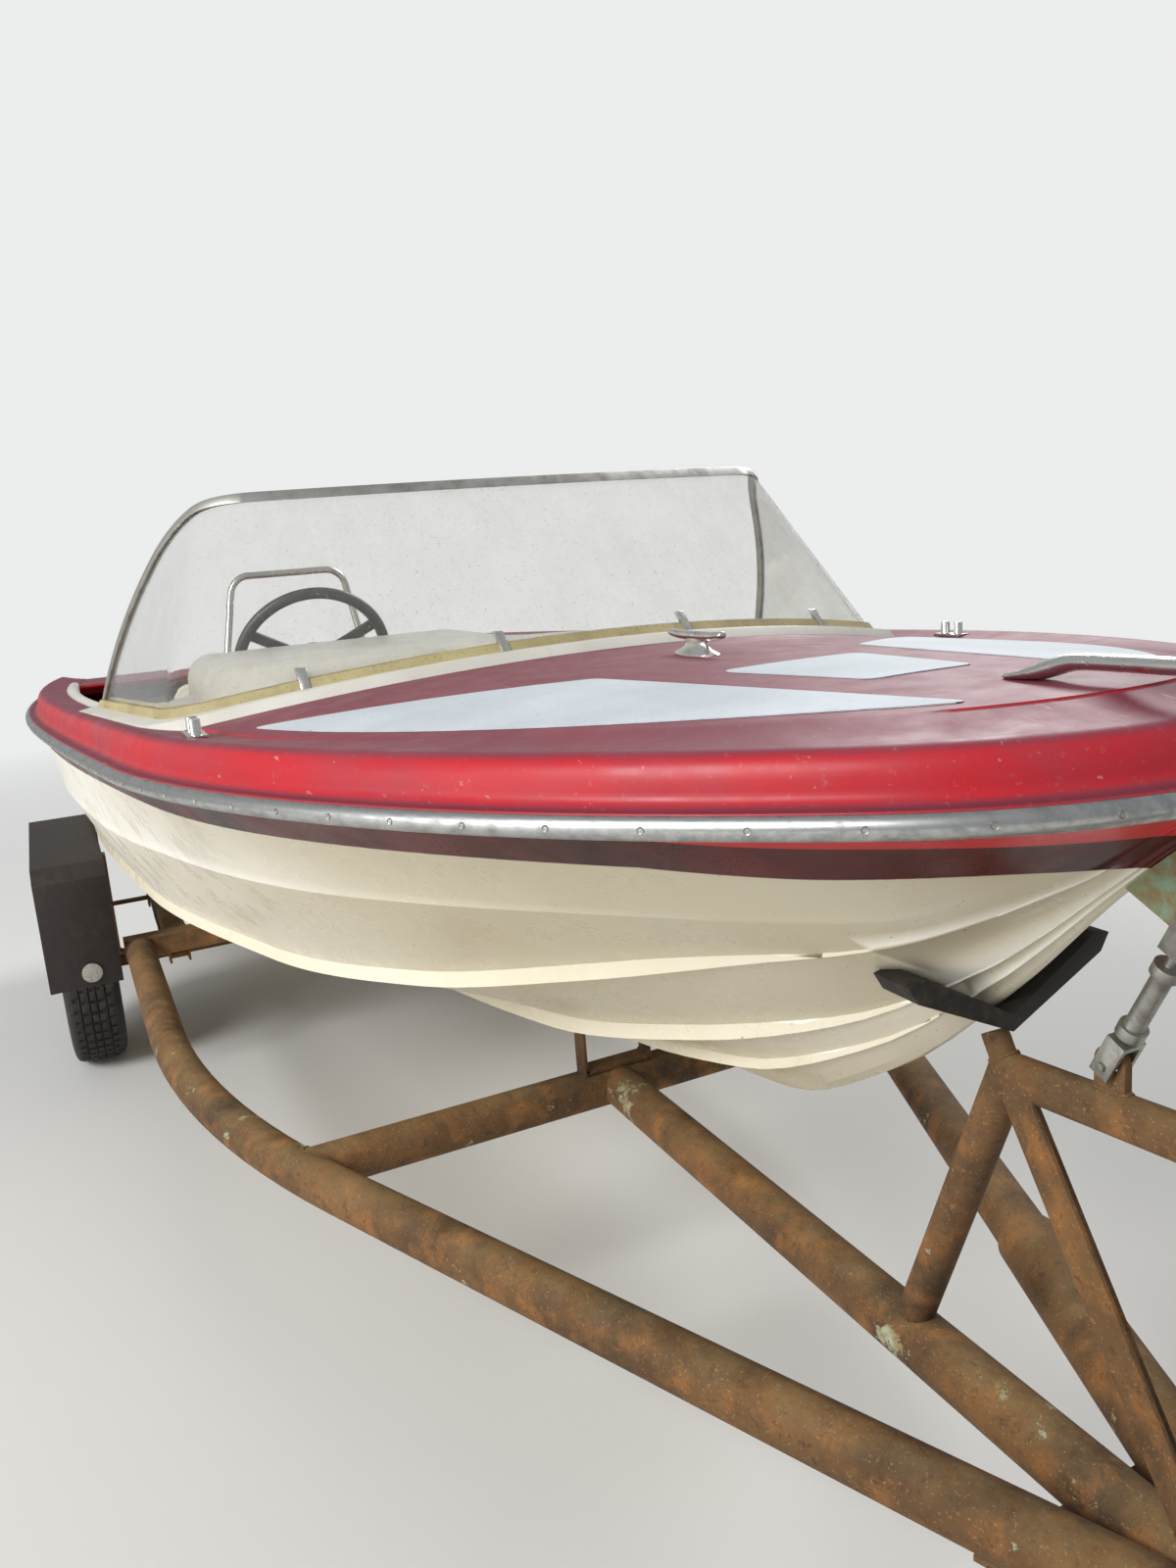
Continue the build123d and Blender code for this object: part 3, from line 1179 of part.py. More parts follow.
with BuildPart() as bunk_posts:
    for side in (1, -1):
        for beam_aft in (REAR_BEAM_AFT, TAIL_BEAM_AFT):
            box_between(
                (x_at(beam_aft) - 22, side * bunk_y - 25, rail_high + SEAT_GAP),
                (x_at(beam_aft) + 22, side * bunk_y + 25, SOLE_Z - 75 - SEAT_GAP),
            )
finish(bunk_posts, "bunk_posts")


def roller_z(aft):
    """Height of a keel roller's axle, for a keel that bites a little into the rubber."""
    return fair_station(aft)[1] - ROLLER[0] + 3


with BuildPart() as keel_rollers:
    for roller_aft in ROLLER_AFTS:
        centre = Vector(x_at(roller_aft), 0, roller_z(roller_aft))
        with BuildSketch(Plane(origin=centre, x_dir=(0, 1, 0), z_dir=(1, 0, 0))) as roller_section:
            with BuildLine():
                half = ROLLER[1] / 2
                Polyline((-half, ROLLER_PIN / 2), (-half, ROLLER[0] + 6), (-half + 12, ROLLER[0] + 6))
                ThreePointArc((-half + 12, ROLLER[0] + 6), (0, ROLLER[0] - 4), (half - 12, ROLLER[0] + 6))
                Polyline((half - 12, ROLLER[0] + 6), (half, ROLLER[0] + 6), (half, ROLLER_PIN / 2),
                         (-half, ROLLER_PIN / 2))
            make_face()
        revolve(roller_section.sketch, axis=Axis(centre, (0, 1, 0)))
    add(hull_bed, mode=Mode.SUBTRACT)
finish(keel_rollers, "keel_rollers")

with BuildPart() as roller_brackets:
    for roller_aft in ROLLER_AFTS:
        centre_x, centre_z = x_at(roller_aft), roller_z(roller_aft)
        beam_top = TUBE_Z + (TUBE if roller_aft == CROSS_TUBE_AFT else BEAM) / 2
        for cheek in (-1, 1):
            box_between(
                (centre_x - 20, cheek * ROLLER[2], beam_top - 12),
                (centre_x + 20, cheek * (ROLLER[2] + 6), centre_z + 20),
            )
        box_between(
            (centre_x - 20, -ROLLER[2] - 6, beam_top + SEAT_GAP), (centre_x + 20, ROLLER[2] + 6, beam_top + 7)
        )
        round_bar(
            (centre_x, -ROLLER[2] - 12, centre_z), (centre_x, ROLLER[2] + 12, centre_z),
            ROLLER_PIN - 2 * SEAT_GAP,
        )
    add(rear_frame.part, mode=Mode.SUBTRACT)
    add(front_cross_tube.part, mode=Mode.SUBTRACT)
    add(hull_bed, mode=Mode.SUBTRACT)
finish(roller_brackets, "roller_brackets")

# Bow stand: round leg, angle strut and a tube forward to the winch post

node_x, node_z = x_at(STAND_NODE[0]), STAND_NODE[1]
post_x = x_at(POST_AFT)
tube_end_z = node_z + (post_x - node_x) * STAND_RISE
hook_z = node_z + (x_at(HOOK_AFT) - node_x) * STAND_RISE
with BuildPart() as bow_stand:
    round_bar((x_at(STAND_FOOT[0]), 0, STAND_FOOT[1]), (node_x, 0, node_z), STAND_TUBE)
    round_bar((node_x, 0, node_z), (post_x - POST / 2 - SEAT_GAP, 0, tube_end_z), STAND_TUBE)
    strut = Vector(x_at(STAND_STRUT_FOOT[0]), 0, STAND_STRUT_FOOT[1]) - Vector(node_x + 20, 0, node_z)
    with BuildSketch(Plane(origin=(node_x + 20, 0, node_z), x_dir=(0, 1, 0), z_dir=strut)) as angle_iron:
        with BuildLine():
            Polyline((-20, -20), (20, -20), (20, -15), (-15, -15), (-15, 20), (-20, 20), close=True)
        make_face()
    extrude(angle_iron.sketch, amount=strut.length)
    round_bar((node_x, 0, node_z), (x_at(CHOCK[0]), 0, node_z + 40), 30)
    with BuildSketch(Plane.XZ.offset(-HOOK_THICK / 2)) as hook_side:
        with Locations((x_at(HOOK_AFT), hook_z + 26)):
            Rectangle(36, 52)
        with Locations((x_at(HOOK_AFT), hook_z + 52)):
            Circle(18)
    extrude(hook_side.sketch, amount=HOOK_THICK)
    with BuildSketch(Plane.XZ.offset(-HOOK_THICK)) as hook_eye:
        with Locations((x_at(HOOK_AFT), hook_z + 52)):
            Circle(10)
    extrude(hook_eye.sketch, amount=2 * HOOK_THICK, mode=Mode.SUBTRACT)
    round_bar(
        (x_at(NOSE_TUBE_AFT), 0, TUBE_Z), (x_at(CROSS_TUBE_AFT), 0, TUBE_Z), TUBE + 2 * SEAT_GAP,
        mode=Mode.SUBTRACT,
    )
    box_between(
        (post_x - POST / 2 - SEAT_GAP, -POST, TUBE_Z), (post_x + POST, POST, POST_TOP), mode=Mode.SUBTRACT
    )
finish(bow_stand, "bow_stand")

chock_z = fair_station(CHOCK[0])[1]
with BuildPart() as bow_chock:
    with BuildSketch(station_plane(CHOCK[0])) as chock_side:
        with BuildLine():
            wing_y, wing_z = CHOCK[1], chock_z + 62
            Polyline(
                (0, chock_z - CHOCK[2]), (wing_y, wing_z - CHOCK[2]), (wing_y + 12, wing_z),
                (wing_y - 10, wing_z + 4), (0, chock_z), (-wing_y + 10, wing_z + 4), (-wing_y - 12, wing_z),
                (-wing_y, wing_z - CHOCK[2]), close=True,
            )
        make_face()
    extrude(chock_side.sketch, amount=CHOCK[3] / 2, both=True)
    add(hull_bed, mode=Mode.SUBTRACT)
    add(bow_stand.part, mode=Mode.SUBTRACT)
finish(bow_chock, "bow_chock")

# The eye plate on the stem and the turnbuckle that ties it down

eye_aft = 96
eye_stem_z = fair_station(eye_aft)[1]
eye_hole = Vector(x_at(eye_aft - 34), 0, eye_stem_z - 46)
with BuildPart() as bow_eye:
    with BuildSketch(Plane.XZ.offset(-7)) as eye_side:
        with BuildLine():
            Polyline(
                (x_at(eye_aft + 40), fair_station(eye_aft + 40)[1] + 12),
                (x_at(eye_aft - 50), fair_station(eye_aft - 50)[1] + 12),
                (eye_hole.X + 20, eye_hole.Z - 6), (eye_hole.X, eye_hole.Z - 22),
                (eye_hole.X - 20, eye_hole.Z - 6),
                close=True,
            )
        make_face()
        fillet(eye_side.vertices().sort_by(Axis.Y)[:3], 8)
        with Locations((eye_hole.X, eye_hole.Z)):
            Circle(9, mode=Mode.SUBTRACT)
    extrude(eye_side.sketch, amount=14)
    add(hull_form.part.moved(Location((SEAT_GAP, 0, -SEAT_GAP))), mode=Mode.SUBTRACT)
finish(bow_eye, "bow_eye")

# Its forks straddle the plates, and its body runs between two collars
turn_low = Vector(x_at(HOOK_AFT), 0, hook_z + 52)
turn_axis = (eye_hole - turn_low).normalized()
turn_length = (eye_hole - turn_low).length
fork_plane = Plane(origin=turn_low, x_dir=(0, 1, 0), z_dir=turn_axis)
with BuildPart() as turnbuckle:
    for from_low, to_low, diameter in TURNBUCKLE:
        round_bar(turn_low + turn_axis * from_low, turn_low + turn_axis * to_low, diameter)
    for fork_from, fork_to in ((-12, 34), (turn_length - 34, turn_length + 12)):
        for cheek in (-1, 1):
            with BuildSketch(fork_plane.offset(fork_from)) as fork_cheek:
                with Locations((cheek * 12.5, 0)):
                    Rectangle(5, 22)
            extrude(fork_cheek.sketch, amount=fork_to - fork_from)
    for fork_from in (28, turn_length - 34):
        with BuildSketch(fork_plane.offset(fork_from)) as fork_bridge:
            Rectangle(30, 22)
        extrude(fork_bridge.sketch, amount=6)
    for pin in (turn_low, eye_hole):
        round_bar(pin + Vector(0, -19, 0), pin + Vector(0, 19, 0), 9)
finish(turnbuckle, "turnbuckle")

# Winch post, winch and crank

tube_top = TUBE_Z + TUBE / 2
with BuildPart() as winch_post:
    box_between((post_x - POST / 2, -POST / 2, tube_top - 20), (post_x + POST / 2, POST / 2, POST_TOP))
    round_bar(
        (x_at(NOSE_TUBE_AFT), 0, TUBE_Z), (x_at(CROSS_TUBE_AFT), 0, TUBE_Z), TUBE + 2 * SEAT_GAP,
        mode=Mode.SUBTRACT,
    )
    box_between((post_x - 45, -52, POST_TOP - 1), (post_x + 45, 52, POST_TOP + 5))
    for cheek in (-1, 1):
        box_between((post_x - 40, cheek * 47, POST_TOP + 4), (post_x + 40, cheek * 52, WINCH_Z + 30))
    with Locations(Location((post_x, 0, WINCH_Z), (90, 0, 0))):
        Cylinder(DRUM_SHAFT / 2 + HUB_GAP, 200, mode=Mode.SUBTRACT)
finish(winch_post, "winch_post")

drum_radius, drum_width, cheek_radius = DRUM

with BuildPart() as winch_drum:
    round_bar((post_x, -drum_width / 2, WINCH_Z), (post_x, drum_width / 2, WINCH_Z), 2 * drum_radius)
    for cheek in (-1, 1):
        round_bar(
            (post_x, cheek * drum_width / 2, WINCH_Z), (post_x, cheek * (drum_width / 2 + 4), WINCH_Z),
            2 * cheek_radius,
        )
    round_bar((post_x, -60, WINCH_Z), (post_x, 78, WINCH_Z), DRUM_SHAFT)
    box_between((post_x - 12, 66, WINCH_Z - CRANK - 12), (post_x + 12, 72, WINCH_Z + 16))
    round_bar((post_x, 66, WINCH_Z - CRANK), (post_x, 160, WINCH_Z - CRANK), 12)
    round_bar((post_x, 78, WINCH_Z - CRANK), (post_x, 158, WINCH_Z - CRANK), 26)
finish(winch_drum, "winch_drum")

# Coupling head and jack

nose_x = x_at(NOSE_TUBE_AFT)
coupling_end = x_at(-COUPLING_AHEAD)
with BuildPart() as coupling:
    box_between((nose_x - 70, -44, TUBE_Z - 20), (coupling_end, 44, TUBE_Z + 52))
    fillet(coupling.edges().filter_by(Axis.Z).group_by(Axis.X)[-1], 30)
    fillet(coupling.faces().sort_by(Axis.Z)[-1].edges(), 12)
    with Locations((coupling_end - 42, 0, TUBE_Z - 20)):
        Cylinder(BALL / 2 + 0.4, 45, align=(Align.CENTER, Align.CENTER, Align.MIN), mode=Mode.SUBTRACT)
    round_bar((nose_x - 90, 0, TUBE_Z), (nose_x + SEAT_GAP, 0, TUBE_Z), TUBE + 2 * SEAT_GAP, mode=Mode.SUBTRACT)
    round_bar((coupling_end - 90, 0, TUBE_Z + 49), (nose_x - 60, 0, TUBE_Z + 92), 16)
finish(coupling, "coupling")

jack_x = x_at(JACK_AFT)
sleeve_diameter, sleeve_low, sleeve_high = JACK_SLEEVE
leg_diameter, leg_top = JACK_LEG
with BuildPart() as jack_body:
    round_bar((jack_x, JACK_Y, sleeve_low), (jack_x, JACK_Y, sleeve_high), sleeve_diameter)
    round_bar(
        (jack_x, JACK_Y, sleeve_low - 1), (jack_x, JACK_Y, sleeve_high - 20), leg_diameter + 1.2,
        mode=Mode.SUBTRACT,
    )
    box_between((jack_x - 35, JACK_Y + sleeve_diameter / 2 - 6, TUBE_Z - 30), (jack_x + 35, 0, TUBE_Z + 30))
    round_bar(
        (jack_x, JACK_Y, sleeve_low - 1), (jack_x, JACK_Y, sleeve_high - 20), leg_diameter + 1.2,
        mode=Mode.SUBTRACT,
    )
    round_bar((nose_x, 0, TUBE_Z), (x_at(0), 0, TUBE_Z), TUBE + 2 * SEAT_GAP, mode=Mode.SUBTRACT)
    round_bar((jack_x, JACK_Y, sleeve_high - 5), (jack_x, JACK_Y, sleeve_high + 22), 18)
    round_bar((jack_x - 70, JACK_Y, sleeve_high + 14), (jack_x + 14, JACK_Y, sleeve_high + 14), 12)
    round_bar((jack_x - 64, JACK_Y, sleeve_high + 14), (jack_x - 64, JACK_Y, sleeve_high + 80), 16)
finish(jack_body, "jack_body")

foot_size, foot_thick = JACK_FOOT
with BuildPart() as jack_leg:
    round_bar((jack_x, JACK_Y, foot_thick), (jack_x, JACK_Y, leg_top), leg_diameter)
    box_between(
        (jack_x - foot_size / 2, JACK_Y - foot_size / 2, 0),
        (jack_x + foot_size / 2, JACK_Y + foot_size / 2, foot_thick),
    )
    fillet(jack_leg.edges().filter_by(Axis.Z).sort_by(Axis.X)[-2:], 20)
finish(jack_leg, "jack_leg")
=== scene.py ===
# %% [markdown]
# # An open speedboat on its road trailer
#
# This file is a lesson. It takes the plain solids of a 14 ft runabout and its steel tube trailer,
# and gives them the surfaces and the small forms that make them look real: sun-bleached gelcoat,
# pitted chrome, scratched acrylic, rust with remnants of paint, padded seats.
# The solids arrive as a fixed frame. Nothing in it is moved, so every new piece is made in the
# frame's own place: +X is the bow, +Y is port, +Z is up, in metres, with the ground at Z = 0.

# %% Load the frame
import json
import math

import bmesh
import bpy
from mathutils import Matrix, Vector
from mathutils.bvhtree import BVHTree


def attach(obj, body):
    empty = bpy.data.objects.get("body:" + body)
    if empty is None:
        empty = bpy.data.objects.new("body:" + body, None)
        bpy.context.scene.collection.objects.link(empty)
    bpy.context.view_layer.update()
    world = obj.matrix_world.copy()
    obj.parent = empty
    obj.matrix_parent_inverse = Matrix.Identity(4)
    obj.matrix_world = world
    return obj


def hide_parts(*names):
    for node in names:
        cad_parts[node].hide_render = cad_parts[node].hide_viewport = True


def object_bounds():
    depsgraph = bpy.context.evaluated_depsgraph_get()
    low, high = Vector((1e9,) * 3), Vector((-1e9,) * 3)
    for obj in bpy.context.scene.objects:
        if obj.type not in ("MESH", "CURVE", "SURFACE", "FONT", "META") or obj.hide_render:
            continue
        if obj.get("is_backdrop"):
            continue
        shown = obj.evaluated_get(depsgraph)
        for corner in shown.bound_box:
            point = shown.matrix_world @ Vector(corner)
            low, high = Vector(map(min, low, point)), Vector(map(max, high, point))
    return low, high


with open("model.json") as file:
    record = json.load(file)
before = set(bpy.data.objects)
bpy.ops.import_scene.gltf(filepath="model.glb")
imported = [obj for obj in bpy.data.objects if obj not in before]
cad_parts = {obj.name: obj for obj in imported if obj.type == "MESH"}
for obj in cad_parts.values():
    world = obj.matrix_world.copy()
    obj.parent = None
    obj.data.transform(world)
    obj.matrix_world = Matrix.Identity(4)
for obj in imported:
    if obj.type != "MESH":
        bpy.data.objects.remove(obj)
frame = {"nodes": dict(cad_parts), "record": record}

CAD_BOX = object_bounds()
print("nodes:", len(frame["nodes"]), "box:", [round(v, 3) for corner in CAD_BOX for v in corner])

# %% [markdown]
# ## Colours and materials
#
# Colours are written as sRGB hex values, as a paint shop would note them, and one function turns
# them into the linear values that the renderer computes with.
# A second small function adds one shader node, sets it and links it. With these two, each
# material below is a short recipe that can be read from top to bottom.

# %% Helpers for colours and shader nodes
def colour(hex_value):
    """sRGB hex to linear RGBA."""
    parts = [int(hex_value[i : i + 2], 16) / 255 for i in (1, 3, 5)]
    linear = [c / 12.92 if c <= 0.04045 else ((c + 0.055) / 1.055) ** 2.4 for c in parts]
    return (*linear, 1.0)


def put(tree, kind, inputs=None, **settings):
    """Add a node: settings are its properties, inputs its sockets, each given a value or a socket."""
    made = tree.nodes.new(kind)
    for name, value in settings.items():
        setattr(made, name, value)
    for socket, value in (inputs or {}).items():
        if isinstance(value, bpy.types.NodeSocket):
            tree.links.new(value, made.inputs[socket])
        else:
            made.inputs[socket].default_value = value
    return made


def new_material(name, **values):
    """A material with one Principled shader. Returns it, its tree, the shader and the place on it."""
    made = bpy.data.materials.new(name)
    made.use_nodes = True
    tree = made.node_tree
    shader = tree.nodes["Principled BSDF"]
    for socket, value in values.items():
        shader.inputs[socket.replace("_", " ")].default_value = value
    return made, tree, shader, put(tree, "ShaderNodeTexCoord").outputs["Object"]


# %% [markdown]
# Weather works in patches: dirt, chalk, mildew and rust all cover some of a surface, and what they
# cover has a size. So a finish is written as a base colour and a table of what was laid over it.
# Each row names the mark, the width of its patches in millimetres, and how much it covers.
# Stretch makes patches longer along X, Y or Z, for streaks and scuffs.

# %% Helpers for weathered finishes
EVEN = (1, 1, 1)
# In the Mix node the sockets for a colour have these numbers
FACTOR, COLOUR_A, COLOUR_B, COLOUR_OUT = 0, 6, 7, 2


def cloud(tree, place, size_mm, detail=4, roughness=0.55, stretch=EVEN):
    """A cloudy pattern whose features are about so many millimetres wide."""
    turned = put(tree, "ShaderNodeMapping", {"Vector": place, "Scale": tuple(1 / s for s in stretch)})
    made = put(tree, "ShaderNodeTexNoise", {"Vector": turned.outputs[0], "Scale": 1000 / size_mm / 2,
                                            "Detail": detail, "Roughness": roughness})
    return made.outputs[0]


def patches(tree, place, size_mm, low, high, detail=4, roughness=0.55, stretch=EVEN, to=(0.0, 1.0)):
    """A cloud cut into patches: none where it is under low, full where it is over high."""
    value = cloud(tree, place, size_mm, detail, roughness, stretch)
    return put(tree, "ShaderNodeMapRange", {0: value, 1: low, 2: high, 3: to[0], 4: to[1]}).outputs[0]


def laid_over(tree, under, over, cover, strength=1.0):
    """One colour over another where the cover is. Each is a hex value or a socket."""
    if strength != 1.0:
        cover = put(tree, "ShaderNodeMath", {0: cover, 1: strength}, operation="MULTIPLY").outputs[0]
    under, over = (colour(c) if isinstance(c, str) else c for c in (under, over))
    made = put(tree, "ShaderNodeMix", {FACTOR: cover, COLOUR_A: under, COLOUR_B: over}, data_type="RGBA")
    return made.outputs[COLOUR_OUT]


def weathered(tree, place, base, marks):
    """Lay a table of marks over a base colour, from the bottom up."""
    for _, size_mm, detail, roughness, stretch, low, high, strength, tone in marks:
        cover = patches(tree, place, size_mm, low, high, detail, roughness, stretch)
        base = laid_over(tree, base, tone, cover, strength)
    return base


def painted(tree, shader, base, roughness=None, relief=None, depth_mm=0.0):
    """Give the shader its colour and, where there are any, its roughness and its relief."""
    tree.links.new(base, shader.inputs["Base Color"])
    if roughness is not None:
        tree.links.new(roughness, shader.inputs["Roughness"])
    if relief is not None:
        made = put(tree, "ShaderNodeBump", {"Height": relief, "Strength": 1.0, "Distance": depth_mm / 1000})
        tree.links.new(made.outputs[0], shader.inputs["Normal"])


# %% [markdown]
# ### Gelcoat
#
# Hull and deck are laid up in moulds whose first layer is gelcoat, a pigmented polyester resin.
# New, it is as glossy as enamel. Decades of sun chalk it: the red deck turns a dull purple-grey
# wherever it lies flat, and stays bright on the rolled edges that shed the light and get wiped.
# So the deck's colour is driven by how far the surface faces up, broken with blotches and scuffs.

# %% Faded red gelcoat
# Columns of every table of marks: name, patch width in mm, detail, roughness of the pattern,
# stretch, where the patches start and are full, strength, colour
RED_BLOTCHES = [("blotches", 45, 6, 0.65, (3, 1, 1), 0.42, 0.72, 0.4, "#7f3e4b")]
RED_MARKS = [
    ("dust", 5, 3, 0.7, EVEN, 0.62, 0.78, 0.3, "#a58a86"),
    ("scuffs", 3.5, 2, 0.5, (30, 1, 1), 0.71, 0.76, 0.35, "#c9a7a0"),
]
FADE_STARTS = 0.80
FADE_FULL = 1.12


def make_red_gelcoat():
    """Chalked red, sound on steep faces, with a painted highlight of brighter red along the crease."""
    made, tree, shader, place = new_material("red_gelcoat_chalked", Specular_IOR_Level=0.35, IOR=1.45)
    facing = put(tree, "ShaderNodeNewGeometry").outputs["Normal"]
    up = put(tree, "ShaderNodeSeparateXYZ", {0: facing}).outputs[2]
    broken = cloud(tree, place, 160, 5, 0.6, (2.5, 1, 1))
    lifted = put(tree, "ShaderNodeMath", {0: broken, 1: 0.3, 2: up}, operation="MULTIPLY_ADD").outputs[0]
    faded = put(tree, "ShaderNodeMapRange", {0: lifted, 1: FADE_STARTS, 2: FADE_FULL}).outputs[0]
    base = laid_over(tree, "#b32029", "#74303d", faded)
    base = weathered(tree, place, base, RED_BLOTCHES)
    # Painted highlight: brighter red laid along the crease, where the deck's step catches a line of light
    crease = put(tree, "ShaderNodeAttribute", attribute_name="crease").outputs["Fac"]
    base = laid_over(tree, base, "#a8222c", crease, 0.75)
    base = weathered(tree, place, base, RED_MARKS)
    dull = patches(tree, place, 30, 0.3, 0.7, 5, 0.6, to=(0.30, 0.46))
    rough = put(tree, "ShaderNodeMath", {0: faded, 1: 0.14, 2: dull}, operation="MULTIPLY_ADD").outputs[0]
    painted(tree, shader, base, rough, cloud(tree, place, 2.2, 4, 0.6), 0.05)
    return made


RED_GELCOAT = make_red_gelcoat()

# %% [markdown]
# The white hull is cream by now. It shows the faults that old gelcoat gets: hairline crazing in
# patches, like a spider's web, dark specks of mildew, and a yellow stain where water dries under
# the strakes. Faces that look down and the upright strips of the strakes are also darkened, as
# painted shade. Crazing is the edge pattern of Voronoi cells, drawn thin and kept to patches with a
# broad cloud. The real cracks are a tenth of a millimetre wide, so they are drawn wider, to show
# at all. The same hull carries a red band under the rail, cut off along the sheer. The band's red
# is drawn very dark, as painted shade from the rail, and a thin line of brighter red along its
# top is a painted highlight.

# %% Cream gelcoat with crazing
BOW_X = 1.85915
SHEER_Z = 1.205
SHEER_FALL = math.radians(2.4)
STEM_DROP = 0.038
# How far each line is below the sheer, and half the width of its edge
RED_BAND = (0.058, 0.0006)
# The lip is a painted highlight: a thin line of brighter red just under the rail
RED_LIP_HIGHLIGHT = (0.015, 0.0005)
CREAM_SUN = [
    ("sun", 300, 4, 0.6, EVEN, 0.35, 0.7, 1.0, "#e6e0d0"),
    ("streaks", 26, 4, 0.6, (1, 1, 12), 0.5, 0.85, 0.12, "#c4b891"),
]
CREAM_MARKS = [
    ("mildew", 3.2, 2, 0.4, EVEN, 0.75, 0.78, 0.6, "#2f291f"),
    ("grime", 90, 6, 0.7, (1, 1, 2), 0.52, 0.85, 0.16, "#a89b7b"),
]
# The red band's colours are very dark: painted shade for the shadow of the rail
SHADED_RED_BAND_MARKS = [("sun", 60, 5, 0.6, (1, 1, 2), 0.35, 0.7, 1.0, "#240807")]
# Columns: cell size in mm, width of the crack as a share of the cell, where its patches start
CRAZING = [(9, 0.03, 0.68), (46, 0.008, 0.60)]


def above_line(tree, place, below_sheer, soft):
    """1 above a line that runs so far below the sheer and drops towards the stem, 0 under it."""
    forward, _, height = put(tree, "ShaderNodeSeparateXYZ", {0: place}).outputs
    stem = put(tree, "ShaderNodeMapRange", {0: forward, 1: 1.50, 2: 1.86, 4: STEM_DROP}).outputs[0]
    slope = math.tan(SHEER_FALL)
    start = SHEER_Z - BOW_X * slope - below_sheer
    line = put(tree, "ShaderNodeMath", {0: forward, 1: slope, 2: start}, operation="MULTIPLY_ADD").outputs[0]
    above = put(tree, "ShaderNodeMath", {0: height, 1: line}, operation="SUBTRACT").outputs[0]
    above = put(tree, "ShaderNodeMath", {0: above, 1: stem}, operation="ADD").outputs[0]
    return put(tree, "ShaderNodeMapRange", {0: above, 1: -soft, 2: soft}).outputs[0]


def facing_up(tree, low, high, full=1.0):
    """How far the surface turns from one upward share of its normal to another."""
    normal = put(tree, "ShaderNodeTexCoord").outputs["Normal"]
    up = put(tree, "ShaderNodeSeparateXYZ", {0: normal}).outputs[2]
    return put(tree, "ShaderNodeMapRange", {0: up, 1: low, 2: high, 4: full}).outputs[0]


def crazing(tree, place, cell_mm, width, patch_low):
    """Thin cracks, 1 in the crack, kept to patches."""
    warp = cloud(tree, place, cell_mm * 0.7, 3, 0.6)
    bent = put(tree, "ShaderNodeVectorMath", {0: (cell_mm / 1500,) * 3, 1: warp}, operation="MULTIPLY")
    moved = put(tree, "ShaderNodeVectorMath", {0: place, 1: bent.outputs[0]}, operation="ADD").outputs[0]
    cells = put(tree, "ShaderNodeTexVoronoi", {"Vector": moved, "Scale": 1000 / cell_mm},
                feature="DISTANCE_TO_EDGE")
    crack = put(tree, "ShaderNodeMapRange", {0: cells.outputs["Distance"], 1: 0.0, 2: width, 3: 1.0, 4: 0.0})
    patch = patches(tree, place, cell_mm * 2.4, patch_low, patch_low + 0.07, 3, 0.5)
    return put(tree, "ShaderNodeMath", {0: crack.outputs[0], 1: patch}, operation="MULTIPLY").outputs[0]


def make_hull_gelcoat():
    """Cream with a stain low down, yellowed strips, crazing, painted shade on faces that look down and on the
    strips, and the red band on top, drawn dark as painted shade with a painted highlight along its top.
    """
    made, tree, shader, place = new_material("cream_gelcoat_crazed", Specular_IOR_Level=0.4, IOR=1.5)
    cream = weathered(tree, place, "#f0ece1", CREAM_SUN)
    height = put(tree, "ShaderNodeSeparateXYZ", {0: place}).outputs[2]
    low = put(tree, "ShaderNodeMapRange", {0: height, 1: 0.60, 2: 0.78, 3: 1.0, 4: 0.0}).outputs[0]
    ragged = patches(tree, place, 90, 0.35, 0.7, 4, 0.6, (4, 1, 1), to=(0.1, 0.6))
    stain = put(tree, "ShaderNodeMath", {0: low, 1: ragged}, operation="MULTIPLY").outputs[0]
    cream = laid_over(tree, cream, "#d9c48c", stain)
    # Faces that look down are darkened: partly yellow stain, partly painted shade
    cream = laid_over(tree, cream, "#b7a470", facing_up(tree, -0.35, -0.75), 0.55)
    # The strips are laid over with a darker cream: partly yellowing, partly painted shade
    strip = put(tree, "ShaderNodeAttribute", attribute_name="strip").outputs["Fac"]
    cream = laid_over(tree, cream, "#c4b68c", strip, 0.45)
    fine, wide = (crazing(tree, place, *row) for row in CRAZING)
    cracks = put(tree, "ShaderNodeMath", {0: fine, 1: wide}, operation="MAXIMUM").outputs[0]
    cream = laid_over(tree, cream, "#4b4335", cracks, 0.5)
    cream = weathered(tree, place, cream, CREAM_MARKS)
    # Painted shade: the band's red is drawn very dark, as it lies in the rail's shadow
    red = weathered(tree, place, "#5a0a10", SHADED_RED_BAND_MARKS)
    # Painted highlight: a thin line of brighter red along the top of the band
    red = laid_over(tree, red, "#c42c31", above_line(tree, place, *RED_LIP_HIGHLIGHT))
    base = laid_over(tree, cream, red, above_line(tree, place, *RED_BAND))
    rough = patches(tree, place, 40, 0.3, 0.7, 5, 0.6, to=(0.2, 0.42))
    painted(tree, shader, base, rough, cloud(tree, place, 180, 2, 0.4), 0.5)
    return made


HULL_GELCOAT = make_hull_gelcoat()

# %% [markdown]
# ### Plastics, rubber, acrylic
#
# The foredeck's non-skid pads are moulded in the gelcoat and painted a cool white, with a grain of
# about 2 mm. The windscreen is an acrylic sheet, drape-formed over a buck. It carries fine
# scratches, dust and specks, which matter more for how it looks than its tint.
# Its index of refraction is kept near 1, so that a thin sheet doesn't bend what lies behind it,
# and its gloss comes from a coat with the index of real acrylic.

